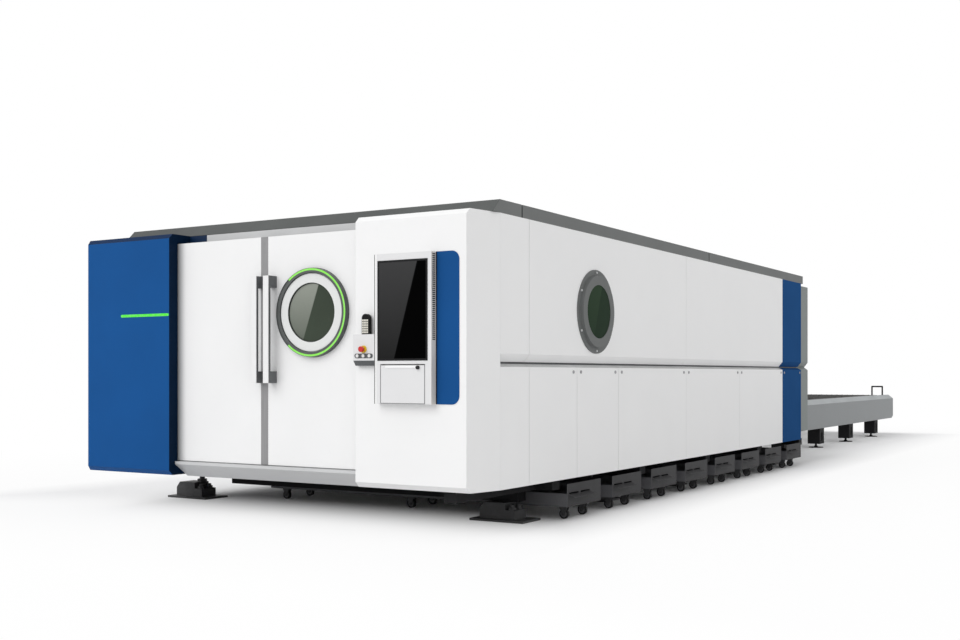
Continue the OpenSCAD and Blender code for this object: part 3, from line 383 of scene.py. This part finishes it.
def light_diffuser(name, colour):
    """Frosted light line, brighter over each of the diodes behind it."""
    f = Finish(name)
    diodes = f.grain(62.0).ramp(0.75, 0.1)
    glow = f.blend(diodes * 0.5, colour, rgba(colour, 0.6, 0.14))
    return f.close(glow, 0.35 + 0.1 * diodes, Emission_Color=glow, Emission_Strength=0.9)


def finish_nodes(material, *names):
    for name in names:
        if name not in NODES:
            raise RuntimeError("there is no part named " + name)
        part = NODES[name]
        if not part.material_slots:
            part.data.materials.append(material)
        for held in part.material_slots:
            held.material = material


# Mesh helpers


def new_piece(name, mesh, material, body):
    bmesh.ops.recalc_face_normals(mesh, faces=mesh.faces[:])
    data = bpy.data.meshes.new(name)
    mesh.to_mesh(data)
    mesh.free()
    data.materials.append(material)
    made = bpy.data.objects.new(name, data)
    bpy.context.collection.objects.link(made)
    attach(made, body)
    return made


def add_sides(mesh, low, high):
    """Faces all round between two rings of points."""
    for i in range(len(low)):
        j = (i + 1) % len(low)
        mesh.faces.new((low[i], high[i], high[j], low[j]))


def add_prism(mesh, outline, axis, start, end):
    """Closes an outline of (first, second) points into a prism along one axis."""
    low, high = ([mesh.verts.new(p[:axis] + (depth,) + p[axis:]) for p in outline]
                 for depth in (start, end))
    mesh.faces.new(low)
    mesh.faces.new(list(reversed(high)))
    add_sides(mesh, low, high)


def round_rect(x0, x1, z0, z1, r, steps=6):
    centres = ((x1 - r, z1 - r), (x0 + r, z1 - r), (x0 + r, z0 + r), (x1 - r, z0 + r))
    points = []
    for quarter, (cx, cz) in enumerate(centres):
        for i in range(steps + 1):
            a = math.radians(90 * quarter + 90.0 * i / steps)
            points.append((cx + r * math.cos(a), cz + r * math.sin(a)))
    return points


# Settings


def paint(name, description, default):
    """A colour that the user may change."""
    return bpy.props.FloatVectorProperty(name=name, description=description, subtype="COLOR",
                                         default=default, min=0, max=1)


class CutterColours(bpy.types.PropertyGroup):
    """Colours of the machine's finishes."""

    panel: paint("Panels", "White of walls, doors and right cover", (0.875, 0.875, 0.875))
    cover: paint("Left cover", "Blue of the front left cover", (0.0085, 0.085, 0.285))
    stripe: paint("Rear panels", "Blue of the rear wall panels", (0.022, 0.083, 0.228))
    roof: paint("Roof", "Grey of the roof hood", (0.185, 0.192, 0.19))
    trim: paint("Sill and header", "Light grey of sill and header", (0.6, 0.605, 0.61))
    collar: paint("Rear collar", "Grey of the collar at the rear end", (0.208, 0.23, 0.224))
    table: paint("Table", "Grey of the exchange table's beams", (0.222, 0.236, 0.243))
    under: paint("Underframe", "Black of legs and tubes below bed and table",
                 (0.016, 0.016, 0.017))
    foot: paint("Feet", "Black of the levelling feet", (0.08, 0.08, 0.082))
    cart: paint("Carts", "Dark grey of the slag carts", (0.032, 0.032, 0.034))
    light: paint("Window light", "Green of the light line round the window", (0.13, 0.44, 0.035))
    strip: paint("Cover light", "Green of the light line on the cover", (0.03, 0.45, 0.006))
    glass: paint("Window glass", "Tint of the door's round window", (0.046, 0.06, 0.043))


class CutterSizes(bpy.types.PropertyGroup):
    """Sizes of the fittings that are added to the machine."""

    chain_pitch: bpy.props.FloatProperty(
        name="Chain pitch", description="Length of one chain link",
        default=0.0381, min=0.02, max=0.08, unit="LENGTH")
    glass_round: bpy.props.FloatProperty(
        name="Screen corner", description="Corner radius of the screen glass",
        default=0.006, min=0.001, max=0.02, unit="LENGTH")


class CutterStage(bpy.types.PropertyGroup):
    """Studio around the machine."""

    sky: bpy.props.FloatProperty(
        name="Fill", description="Strength of the even light from all round",
        default=0.77, min=0, max=2)
    key: bpy.props.FloatProperty(
        name="Key", description="Strength of the soft light from the front left",
        default=1.15, min=0, max=10)
    lens: bpy.props.FloatProperty(
        name="Lens", description="Focal length of the camera in millimetres",
        default=43.61, min=20, max=120, unit="CAMERA")
    turn: bpy.props.FloatProperty(
        name="View turn", description="Turn of the camera about the upright axis",
        default=math.radians(31.2), subtype="ANGLE")
    rise: bpy.props.FloatProperty(
        name="View shift", description="Upward shift of the picture",
        default=0.05625, min=-0.3, max=0.3)


# Operators


class CUTTER_OT_enclosure(bpy.types.Operator):
    """Paints walls, covers, roof and rear collar"""

    bl_idname = "cutter.enclosure"
    bl_label = "Paint enclosure"

    def execute(self, context):
        c = context.scene.cutter_colours
        trim_blue = [0.92 * v for v in c.cover]
        finish_nodes(sheet_paint("panel_white", c.panel, self.groove, **PANEL_COAT),
                     "left_wall_panels", "right_wall_panels")
        finish_nodes(sheet_paint("cover_white", c.panel, **PANEL_COAT), "front_right_cover")
        finish_nodes(sheet_paint("cover_blue", c.cover, self.fold_shade, roughness=0.45, radius=0.006,
                                 wear=0.06, cloud=0.1, gloss=0.05), "front_left_cover")
        finish_nodes(sheet_paint("trim_blue", trim_blue, self.gap, roughness=0.4, radius=0.002,
                                 wear=0.06, cloud=0.1, gloss=0.06), "trim_plate")
        finish_nodes(sheet_paint("stripe_blue", c.stripe, roughness=0.6, radius=0.004,
                                 wear=0.06, cloud=0.1, gloss=0.0), "rear_stripe_panels")
        finish_nodes(sheet_paint("roof_grey", c.roof, self.front_slope_shade, roughness=0.55, radius=0.003,
                                 wear=0.12, cloud=0.12, gloss=0.1), "roof_panels")
        finish_nodes(sheet_paint("collar_grey", c.collar, roughness=0.45, radius=0.003,
                                 wear=0.15, cloud=0.08, gloss=0.2), "rear_collar")
        finish_nodes(sheet_paint("sill_grey", c.trim, **TRIM_COAT), "door_threshold")
        finish_nodes(sheet_paint("header_grey", c.trim, self.corner, **TRIM_COAT), "door_header")
        # the frames' dark grey is partly painted shade, so the joints between the wall panels
        # read dark
        finish_nodes(frame_paint("wall_frame_grey", (0.12, 0.125, 0.13), 0.5, dust=0.2),
                     "wall_frames")
        finish_nodes(frame_paint("gate_grey", (0.3, 0.31, 0.32), 0.45, dust=0.2), "rear_gate")
        finish_nodes(ground_steel("lock_steel", (0.42, 0.42, 0.43), Z, 0.32), "panel_locks")
        return {"FINISHED"}

    def fold_shade(self, f):
        """Painted shade in a deeper blue on the cover's folded edge beside the door and on its
        upward-turned top bevel.
        """
        inner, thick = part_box("front_left_cover")[1].x, 0.0008
        # painted shade: the right-facing folded edge and the upward faces are darkened
        return [(f.axes()[X] > inner - thick, (0.0015, 0.012, 0.036)),
                (f.facing()[Z] > TURNED, (0.0015, 0.021, 0.075))]

    def corner(self, f):
        """The header's end beside the left cover, painted in the cover's deep blue as a stand-in
        for the cover's return running deeper; the blue carries painted shade.
        """
        inner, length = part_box("front_left_cover")[1].x, 0.19
        # painted shade: the return's shaded blue carried onto the header's end
        return [(f.axes()[X] < inner + length, (0.0015, 0.018, 0.06))]

    def gap(self, f):
        """Painted shadow: the dark strip of the trim plate beside the panel's case."""
        left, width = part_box("trim_plate")[0].x, 0.01
        # painted shadow of the case along the plate's left edge
        return [(f.axes()[X] < left + width, (0.002, 0.01, 0.03))]

    def front_slope_shade(self, f):
        """Painted shade: the roof's front slope in a deeper grey."""
        # painted shade on the faces turned to the front
        return [(f.facing()[Y] < -TURNED, (0.102, 0.108, 0.106))]

    def groove(self, f):
        """Painted shade: the lower slope of the groove along the walls, a dull grey strip."""
        z = f.axes()[Z]
        # painted shade on the groove's lower slope
        return [((z > GROOVE_LOW) * (z < GROOVE_HIGH), (0.54, 0.545, 0.545))]


class CUTTER_OT_front(bpy.types.Operator):
    """Finishes the sliding doors, the windows and the light lines"""

    bl_idname = "cutter.front"
    bl_label = "Finish doors and windows"

    def execute(self, context):
        c = context.scene.cutter_colours
        finish_nodes(sheet_paint("door_white", c.panel, self.shade, roughness=0.4, radius=0.003,
                                 wear=0.12, cloud=0.02, gloss=0.2), "left_door", "right_door")
        finish_nodes(sheet_paint("dish_white", (0.75, 0.76, 0.75), self.seal, roughness=0.36,
                                 radius=0.004, wear=0.15, cloud=0.02, gloss=0.2), "window_dish")
        finish_nodes(ground_steel("edge_profile", (0.3, 0.3, 0.305), Z, 0.42), "left_door_edge")
        finish_nodes(sheet_paint("handle_white", (0.84, 0.84, 0.84), self.flank, roughness=0.36,
                                 radius=0.003, wear=0.2, cloud=0.03, gloss=0.2),
                     "left_handle", "right_handle")
        finish_nodes(moulded("rim_grey", (0.075, 0.082, 0.08), 0.36), "window_rim")
        finish_nodes(sheet_paint("flange_grey", (0.15, 0.157, 0.155), self.bolts, roughness=0.45,
                                 radius=0.003, wear=0.2, cloud=0.1, gloss=0.15),
                     "side_window_frame")
        finish_nodes(dark_glass("door_glass", c.glass, self.door_reflection, streak=0.1, gloss=0.1),
                     "window_glass")
        finish_nodes(dark_glass("side_glass", (0.013, 0.03, 0.015), self.side_reflection,
                                streak=0.05, gloss=0.015), "side_window_glass")
        finish_nodes(light_diffuser("light_green", c.light), "window_light")
        finish_nodes(light_diffuser("strip_green", c.strip), "cover_light_strip")
        return {"FINISHED"}

    def shade(self, f):
        """Painted shadow that the left cover casts on the left door's edge, which runs behind the
        cover.
        """
        inner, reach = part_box("front_left_cover")[1].x, 0.1
        near = f.axes()[X].ramp(inner + reach, inner)
        # painted shadow, fading from the cover's edge
        return [(0.74 * near ** 1.6, (0.12, 0.125, 0.13))]

    def flank(self, f):
        """The handles' dark sides, behind their white fronts."""
        front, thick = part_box("left_handle")[0].y, 0.002
        return [(f.axes()[Y] > front + thick, (0.14, 0.145, 0.15))]

    def seal(self, f):
        """The black seal in the bore of the dish, round the glass."""
        low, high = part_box("window_dish")
        middle = (low + high) / 2
        x, _, z = f.axes()
        return [(square(x - middle.x, z - middle.z) < SEAL_R ** 2, (0.03, 0.036, 0.032))]

    def bolts(self, f):
        """The bright bolt heads on the side window's flange."""
        low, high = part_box("side_window_frame")
        middle = (low + high) / 2
        x, y, z = f.axes()
        flange, ring = 0.0086, 0.304
        proud = x > low.x + flange
        outer = square(y - middle.y, z - middle.z) > ring ** 2
        return [(proud * outer, (0.62, 0.63, 0.63))]

    def door_reflection(self, f):
        # painted reflection on the door window's glass
        return self.painted_reflection(f, "window_glass", X, (0.3, 0.32, 0.28))

    def side_reflection(self, f):
        # painted reflection on the side window's glass
        return self.painted_reflection(f, "side_window_glass", Y, (0.025, 0.05, 0.025))

    def painted_reflection(self, f, part, across, colour):
        """Painted reflection: a paler patch on one side of a round glass, fading downwards."""
        low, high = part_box(part)
        middle, r = (low + high) / 2, (high.z - low.z) / 2
        axes = f.axes()
        u, v = (axes[across] - middle[across]) / r, (axes[Z] - middle.z) / r
        # painted reflection: paler on one side, fading downwards
        reflection_mask = ((0.36 * v - 0.04) - u).ramp(0.0, 0.03)
        return reflection_mask * v.ramp(-1.9, 1.1), colour


class CUTTER_OT_controls(bpy.types.Operator):
    """Finishes the operator panel and adds its screen glass and the flap's finger strip"""

    bl_idname = "cutter.controls"
    bl_label = "Finish operator panel"

    def execute(self, context):
        flap_coat = {**CASE_COAT, "radius": 0.002}
        finish_nodes(sheet_paint("case_white", CASE_WHITE, self.slots, **CASE_COAT), "panel_case")
        finish_nodes(sheet_paint("flap_white", CASE_WHITE, self.knob, **flap_coat),
                     "keyboard_flap")
        finish_nodes(sheet_paint("console_white", CASE_WHITE, self.under, **CASE_COAT),
                     "button_console")
        finish_nodes(moulded("screen_frame", (0.012, 0.012, 0.013), 0.3, gloss=0.12),
                     "panel_screen")
        finish_nodes(self.key_black(), "keyboard")
        finish_nodes(self.remote_black(), "hand_remote")
        finish_nodes(self.button_bar(), "button_plate")
        finish_nodes(moulded("stop_red", (0.55, 0.012, 0.01), 0.25, spark=500.0), "stop_button")
        self.screen(context.scene.cutter_sizes.glass_round)
        self.pull()
        return {"FINISHED"}

    def slots(self, f):
        """The case's right side, painted shade inside its air slots, a painted highlight on its
        left bevel and a painted shadow line along its left edge.
        """
        low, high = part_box("panel_case")
        x, y, _ = f.axes()
        skin, depth, margin = 0.0006, 0.026, 0.0115
        face, bevel, seal = 0.004, 0.02, 0.0055
        inside = (x > high.x - depth) * (y > low.y + margin) * (y < high.y - margin)
        front = y < low.y + face
        return [(x > high.x - skin, (0.78, 0.74, 0.67)),
                # painted shade: the inner faces of the air slots near black
                (inside * (x < high.x - skin), (0.02, 0.02, 0.02)),
                # painted highlight on the left bevel, then a painted shadow line along the left
                # edge
                (front * (x < low.x + bevel), (0.84, 0.84, 0.84)),
                (front * (x < low.x + seal), (0.06, 0.06, 0.06))]

    def knob(self, f):
        """The flap's darker grey outline along its ends and lower edge, and the knob in front of
        it.
        """
        low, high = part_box("keyboard_flap")
        x, y, z = f.axes()
        end, foot, knob_back = 0.0185, 0.004, 0.0137
        outline = any_of([x < low.x + end, x > high.x - end, z < low.z + foot])
        return [(outline, (0.24, 0.24, 0.25)), (y < low.y + knob_back, (0.015, 0.015, 0.016))]

    def under(self, f):
        """Painted shade on the sloped underside of the console."""
        bottom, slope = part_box("button_console")[0].z, 0.0365
        # painted shade: the downward slope darkened
        return [(f.axes()[Z] < bottom + slope, (0.11, 0.115, 0.12))]

    def key_black(self):
        """Black keyboard whose key tops are a little lighter."""
        f = Finish("key_black")
        rear, key_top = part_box("keyboard")[1].y, 0.0012
        top = f.axes()[Y] > rear - key_top
        worn = f.noise(60.0, 3.0, 0.5)
        tone = f.blend(top, (0.02, 0.02, 0.021), (0.055, 0.055, 0.058))
        skin = f.bump(f.grain(500.0), 0.0002, 0.3, f.rounded(0.001))
        return f.close(tone, 0.4 + 0.15 * worn, 0.0, skin)

    def remote_black(self):
        """Black hand remote with pale keys."""
        f = Finish("remote_black")
        front, key_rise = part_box("hand_remote")[0].y, 0.0015
        key = f.axes()[Y] < front + key_rise
        worn = f.noise(40.0, 3.0, 0.5)
        tone = f.blend(key, (0.005, 0.005, 0.005), (0.72, 0.7, 0.63))
        tone = f.blend(worn.ramp(0.5, 0.8) * 0.1, tone, (0.1, 0.1, 0.1))
        skin = f.bump(f.grain(420.0), 0.0002, 0.3, f.rounded(0.0015))
        return f.close(tone, 0.42 + 0.12 * worn, 0.0, skin, Specular_IOR_Level=0.12)

    def button_bar(self):
        """Dark button bar, pale caps and the yellow collar of the stop button."""
        f = Finish("button_bar")
        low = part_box("button_plate")[0]
        stop = sum(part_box("stop_button"), Vector()) / 2
        pitch, cap_r, cap_face, collar_rise = 0.053, 0.0124, 0.0055, 0.02
        bar_z = low.z + 0.016
        x, y, z = f.axes()
        collar = z > bar_z + collar_rise
        cap = any_of([square(x - (stop.x + shift), z - bar_z) < cap_r ** 2
                      for shift in (-pitch, 0.0, pitch)]) * (y < low.y + cap_face)
        worn = f.noise(70.0, 3.0, 0.5)
        tone = f.blend(worn, (0.06, 0.065, 0.07), (0.085, 0.09, 0.095))
        tone = f.blend(cap, tone, (0.74, 0.74, 0.73))
        tone = f.blend(collar, tone, (0.75, 0.5, 0.02))
        skin = f.bump(f.grain(480.0), 0.0002, 0.25, f.rounded(0.001))
        return f.close(tone, 0.32 + 0.12 * worn, 0.0, skin)

    def pull(self):
        """Finger strip along the top of the keyboard flap, thicker towards its lower edge."""
        low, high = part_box("keyboard_flap")
        face = low.y + 0.014
        back, thin, thick, lip = face + 0.0003, face - 0.0012, face - 0.0045, 0.001
        top, bottom = high.z - 0.003, high.z - 0.0185
        left, right = low.x + 0.057, low.x + 0.318
        profile = [(back, top), (thin, top), (thick, bottom + lip), (thick, bottom),
                   (back, bottom)]
        mesh = bmesh.new()
        add_prism(mesh, profile, X, left, right)
        white = sheet_paint("pull_white", (0.88, 0.88, 0.88), roughness=0.36, radius=0.0006,
                            wear=0.1, cloud=0.02, gloss=0.2)
        new_piece("flap_pull", mesh, white, "keyboard_flap")

    def screen(self, r):
        """Glass plate that lies in the recess of the screen frame, with a painted reflection on
        its left side, fading downwards.
        """
        low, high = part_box("panel_screen")
        edge, front, back = 0.0145, 0.0003, 0.002
        outline = round_rect(low.x + edge, high.x - edge, low.z + edge, high.z - edge, r)
        mesh = bmesh.new()
        add_prism(mesh, outline, Y, low.y + front, low.y + back)
        f = Finish("screen_glass")
        x, _, z = f.axes()
        haze = f.noise(3.0, 2.0, 0.4)
        dots = f.grain(900.0)
        tone = f.blend(haze, (0.0005, 0.0005, 0.0005), (0.001, 0.001, 0.0011))
        u, v = (x - low.x) / (high.x - low.x), (z - low.z) / (high.z - low.z)
        # painted reflection: a paler diagonal patch on the screen glass
        painted_reflection = (0.335 + 0.475 * v - u).ramp(0.0, 0.015) * v.ramp(-0.5, 1.0)
        tone = f.blend(painted_reflection, tone, (0.05, 0.05, 0.051))
        glass = f.close(tone, 0.08 + 0.04 * haze + 0.01 * dots, Specular_IOR_Level=0.01)
        new_piece("screen_glass", mesh, glass, "machine")


class CUTTER_OT_gantry(bpy.types.Operator):
    """Finishes the bed, the gantry and the cutting head"""

    bl_idname = "cutter.gantry"
    bl_label = "Finish bed and gantry"

    def execute(self, context):
        c = context.scene.cutter_colours
        finish_nodes(frame_paint("bed_grey", (0.2, 0.205, 0.21), 0.55, dust=0.35), "bed_beams")
        finish_nodes(frame_paint("under_black", c.under, 0.6, dust=0.12, gloss=0.06),
                     "bed_cross_tubes", "table_cross_tubes", "table_legs")
        finish_nodes(frame_paint("foot_black", c.foot, 0.5, dust=0.12), "levelling_feet")
        finish_nodes(ground_steel("guide_steel", (0.55, 0.56, 0.57), Y, 0.25),
                     "gantry_rails", "pallet_rails")
        finish_nodes(cast_body("gantry_silver", (0.52, 0.53, 0.55), 0.42, metallic=0.7),
                     "gantry_beam", "cross_carriage")
        finish_nodes(frame_paint("truck_grey", (0.1, 0.105, 0.11), 0.45, dust=0.2),
                     "gantry_trucks", "drive_motor")
        finish_nodes(cast_body("head_silver", (0.58, 0.59, 0.6), 0.3, metallic=0.9),
                     "cutting_head")
        return {"FINISHED"}


class CUTTER_OT_pallets(bpy.types.Operator):
    """Finishes pallets, slats and the exchange table"""

    bl_idname = "cutter.pallets"
    bl_label = "Finish pallets and table"

    def execute(self, context):
        c = context.scene.cutter_colours
        scorch_depth = 0.06
        finish_nodes(frame_paint("pallet_black", (0.035, 0.034, 0.034), 0.55, dust=0.5),
                     "upper_pallet", "lower_pallet")
        for part in ("upper_slats", "lower_slats"):
            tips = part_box(part)[1].z
            finish_nodes(cut_plate(part + "_steel", tips - scorch_depth, tips), part)
        finish_nodes(sheet_paint("table_grey", c.table, self.top_highlight, roughness=0.42, radius=0.004,
                                 wear=0.2, cloud=0.1, gloss=0.3), "table_beams")
        finish_nodes(ground_steel("shaft_steel", (0.5, 0.5, 0.51), X, 0.28), "drive_shaft")
        return {"FINISHED"}

    def top_highlight(self, f):
        """Painted highlight: the beams' upper slopes and tops, in a lighter grey."""
        table = bpy.context.scene.cutter_colours.table
        # painted highlight on faces turned up
        return [(f.facing()[Z] > TURNED, [1.6 * v for v in table])]


class CUTTER_OT_chains(bpy.types.Operator):
    """Lays a roller chain along each side of the table"""

    bl_idname = "cutter.chains"
    bl_label = "Lay drive chains"

    def execute(self, context):
        pitch = context.scene.cutter_sizes.chain_pitch
        low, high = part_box("drive_chains")
        radius = (high.z - low.z) / 2 - CHAIN_ROOM
        mid_z = (high.z + low.z) / 2
        front, rear = low.y + radius + CHAIN_ROOM, high.y - radius - CHAIN_ROOM
        straight, arc = rear - front, math.pi * radius
        count = 2 * int(round((straight + arc) / pitch))
        step = 2 * (straight + arc) / count

        def spot(s):
            """Place at a distance along the loop."""
            s %= 2 * (straight + arc)
            if s < straight:
                return Vector((0, front + s, mid_z + radius))
            s -= straight
            if s < arc:
                a = s / radius
                return Vector((0, rear + radius * math.sin(a), mid_z + radius * math.cos(a)))
            s -= arc
            if s < straight:
                return Vector((0, rear - s, mid_z - radius))
            a = (s - straight) / radius
            return Vector((0, front - radius * math.sin(a), mid_z - radius * math.cos(a)))

        steel = self.chain_steel()
        for side, name in ((high.x - CHAIN_WIDTH / 2, "chain_right"),
                           (low.x + CHAIN_WIDTH / 2, "chain_left")):
            mesh = bmesh.new()
            for i in range(count):
                offset = OUTER_PLATE if i % 2 else INNER_PLATE
                self.link(mesh, spot(i * step), spot(i * step + step), step, side, offset)
            chain = new_piece(name, mesh, steel, "machine")
            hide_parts("drive_chains")
        return {"FINISHED"}

    def chain_steel(self):
        """Oiled steel, darker where the oil has gathered."""
        f = Finish("chain_steel")
        oil = f.noise(24.0, 4.0, 0.6)
        tone = f.blend(oil.drift(), (0.07, 0.066, 0.062), (0.24, 0.235, 0.23))
        return f.close(tone, 0.3 + 0.25 * oil, 0.85, f.bump(oil, 0.0004, 0.3))

    def link(self, mesh, a, b, step, side, offset):
        """Two waisted plates and a roller, laid between two points of the loop."""
        along = (b - a).normalized()
        up = Vector((0, -along.z, along.y))
        middle = (a + b) / 2
        end, half, waist = step / 2 + PLATE_END, PLATE_HALF, PLATE_WAIST
        shoulder, nose = end * 0.8, half * 0.5
        shape = [(-end, -nose), (-shoulder, -half), (0, -waist), (shoulder, -half), (end, -nose),
                 (end, nose), (shoulder, half), (0, waist), (-shoulder, half), (-end, nose)]
        for sign in (-1, 1):
            centre = Vector((side + sign * offset, 0, 0)) + middle
            inner = [mesh.verts.new(centre + along * p + up * q) for p, q in shape]
            thick = Vector((sign * PLATE_T, 0, 0))
            outer = [mesh.verts.new(v.co + thick) for v in inner]
            mesh.faces.new(inner)
            mesh.faces.new(list(reversed(outer)))
            add_sides(mesh, inner, outer)
        turns = [math.tau * k / ROLLER_SIDES for k in range(ROLLER_SIDES)]
        rings = []
        for x in (-ROLLER_HALF, ROLLER_HALF):
            centre = a + Vector((side + x, 0, 0))
            rings.append([mesh.verts.new(centre + along * (ROLLER_R * math.cos(t))
                                         + up * (ROLLER_R * math.sin(t))) for t in turns])
        add_sides(mesh, *rings)


class CUTTER_OT_carts(bpy.types.Operator):
    """Finishes the slag carts and their casters"""

    bl_idname = "cutter.carts"
    bl_label = "Finish slag carts"

    def execute(self, context):
        cart = context.scene.cutter_colours.cart
        f = Finish("cart_grey")
        soft = f.rounded(0.003)
        rub = f.edges(soft)
        soot = f.noise(5.0, 5.0, 0.65)
        specks = f.grain(140.0).ramp(0.3, 0.1)
        # painted light: the carts' long sides get a lighter copy of the grey against the shade on
        # them
        lightened_long_side = abs(f.facing()[Y]) > 0.7
        caster, wheel, hub = self.casters(f)
        tone = f.blend(soot.drift(), rgba(cart, 0.75), rgba(cart, 1.25))
        # painted light on the long sides
        tone = f.blend(lightened_long_side, tone, rgba(cart, 4.0))
        tone = f.blend(specks * 0.35, tone, (0.075, 0.068, 0.062))
        tone = f.blend(rub * 0.35, tone, (0.17, 0.165, 0.16))
        sooty = soot.ramp(0.4, 0.6)
        fork = f.blend(sooty, (0.05, 0.05, 0.052), (0.085, 0.085, 0.088))
        rubber = f.blend(sooty, (0.009, 0.009, 0.01), (0.017, 0.017, 0.018))
        rolling = f.blend(hub, rubber, (0.15, 0.15, 0.155))
        tone = f.blend(caster, tone, f.blend(wheel, fork, rolling))
        peel = f.bump(f.noise(300.0, 3.0, 0.6), 0.0005, 0.4, soft)
        rough = 0.5 + 0.18 * soot - 0.1 * caster
        painted = f.close(tone, rough, 0.0, peel, Specular_IOR_Level=0.25)
        finish_nodes(painted, *["slag_cart_%d" % i for i in range(1, 9)])
        return {"FINISHED"}

    def casters(self, f):
        """Where the casters, their wheels and the hubs in these are, alike on all the carts."""
        low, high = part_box("slag_cart_1")
        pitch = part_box("slag_cart_2")[0].y - low.y
        half = (high.y - low.y) / 2
        x, y, z = f.axes()
        off = abs(abs((y - low.y) % pitch - half) - (half - CASTER_INSET))
        hub = any_of([square(x - along, z - WHEEL_R) < HUB_R ** 2 for along in CASTER_X])
        return z < low.z + CASTER_TOP, off < WHEEL_HALF, hub


class CUTTER_OT_stage(bpy.types.Operator):
    """Builds the floor, the lights and the camera"""

    bl_idname = "cutter.stage"
    bl_label = "Build studio"

    def execute(self, context):
        stage = context.scene.cutter_stage
        context.scene.view_settings.view_transform = "Standard"
        self.floor(context)
        self.sky(context, stage.sky)
        self.lamp(context, stage.key)
        self.camera(context, stage)
        return {"FINISHED"}

    def floor(self, context):
        """Pale floor that stays white to the camera and keeps soft shadows."""
        half, drop = 60.0, 0.0006
        corners = ((-half, -half), (half, -half), (half, half), (-half, half))
        mesh = bmesh.new()
        mesh.faces.new([mesh.verts.new((x, y, -drop)) for x, y in corners])
        data = bpy.data.meshes.new("floor")
        mesh.to_mesh(data)
        mesh.free()
        made = bpy.data.objects.new("floor", data)
        context.collection.objects.link(made)
        f = Finish("floor_white")
        matt = {"Color": (0.86, 0.86, 0.865, 1.0), "Roughness": 0.4}
        shaded = f.node("ShaderNodeBsdfDiffuse", inputs=matt)
        white = f.node("ShaderNodeEmission", inputs={"Color": WHITE, "Strength": 1.0})
        factor = self.straight(f) * self.cleared(f)
        data.materials.append(f.end(f.node("ShaderNodeMixShader",
                                           inputs={0: factor, 1: shaded, 2: white})))

    def cleared(self, f):
        """How far the floor has gone from the shadow below the machine, 0, to plain white, 1.

        It goes with the distance from the machine's plan, and more slowly ahead of its front."""
        x, y, _ = f.axes()
        middle_x, half_x, rear_y = -0.675, 2.675, 8.4
        left_x, slant = -2.0, 0.45
        wide, behind = abs(x - middle_x) - half_x, y - rear_y
        outside = square(wide.either(0.0), behind.either(0.0)) ** 0.5
        inside = (0.0 - wide.either(behind)).either(0.0)
        away = outside - inside
        beside = 0.85 * away.ramp(-0.15, 0.6) + 0.15 * away.ramp(0.3, 5.0)
        ahead = FRONT_Y - y - slant * (left_x - x).either(0.0)
        near = ahead.ramp(-1.7, -0.25)
        eased = near * near * (3.0 - 2.0 * near)
        before = 0.78 * eased + 0.2 * ahead.ramp(-0.3, 2.0)
        return beside.either(before)

    def straight(self, f):
        """1 for rays that should meet the plain white background."""
        camera, gloss, through = (
            f.node("ShaderNodeLightPath", out=ray)
            for ray in ("Is Camera Ray", "Is Glossy Ray", "Is Transmission Ray"))
        return (camera + gloss + through).held()

    def sky(self, context, strength):
        """Even light from all round, which the camera sees as plain white."""
        context.scene.world = context.scene.world or bpy.data.worlds.new("studio")
        f = Finish("studio", context.scene.world)
        light, shown = (f.node("ShaderNodeBackground", inputs={"Color": WHITE, "Strength": level})
                        for level in (strength, 1.0))
        f.end(f.node("ShaderNodeMixShader", inputs={0: self.straight(f), 1: light, 2: shown}))

    def lamp(self, context, strength):
        """Wide soft light from the front left."""
        sun = bpy.data.lights.new("soft_key", "SUN")
        sun.energy = strength
        sun.angle = math.radians(50)
        lamp = bpy.data.objects.new("soft_key", sun)
        direction = Vector((0.28, 0.8, -0.62))
        lamp.rotation_euler = direction.to_track_quat("-Z", "Y").to_euler()
        context.collection.objects.link(lamp)

    def camera(self, context, stage):
        """Level view from the front right."""
        right, back, height = 6.095, 6.701, 1.15
        data = bpy.data.cameras.new("camera")
        data.sensor_width = 36.0
        data.lens = stage.lens
        data.shift_y = stage.rise
        data.clip_end = 200.0
        camera = bpy.data.objects.new("camera", data)
        camera.location = (right, FRONT_Y - back, height)
        camera.rotation_euler = (math.pi / 2, 0.0, stage.turn)
        context.collection.objects.link(camera)
        context.scene.camera = camera


class CUTTER_PT_panel(bpy.types.Panel):
    """Lists the steps that dress the machine"""

    bl_idname = "CUTTER_PT_panel"
    bl_label = "Sheet Cutter"
    bl_space_type = "VIEW_3D"
    bl_region_type = "UI"
    bl_category = "Sheet Cutter"

    def draw(self, context):
        for step in STEPS:
            self.layout.operator(step.bl_idname)
        for name, group in GROUPS:
            box = self.layout.box()
            for key in group.__annotations__:
                box.prop(getattr(context.scene, name), key)


STEPS = (CUTTER_OT_enclosure, CUTTER_OT_front, CUTTER_OT_controls, CUTTER_OT_gantry,
         CUTTER_OT_pallets, CUTTER_OT_chains, CUTTER_OT_carts, CUTTER_OT_stage)
GROUPS = (("cutter_colours", CutterColours), ("cutter_sizes", CutterSizes),
          ("cutter_stage", CutterStage))


def register():
    for name, group in GROUPS:
        bpy.utils.register_class(group)
        setattr(bpy.types.Scene, name, bpy.props.PointerProperty(type=group))
    for step in STEPS:
        bpy.utils.register_class(step)
    bpy.utils.register_class(CUTTER_PT_panel)


def unregister():
    bpy.utils.unregister_class(CUTTER_PT_panel)
    for step in reversed(STEPS):
        bpy.utils.unregister_class(step)
    for name, group in reversed(GROUPS):
        delattr(bpy.types.Scene, name)
        bpy.utils.unregister_class(group)


def main():
    register()
    for step in STEPS:
        area, name = step.bl_idname.split(".")
        getattr(getattr(bpy.ops, area), name)()


if __name__ == "__main__":
    main()
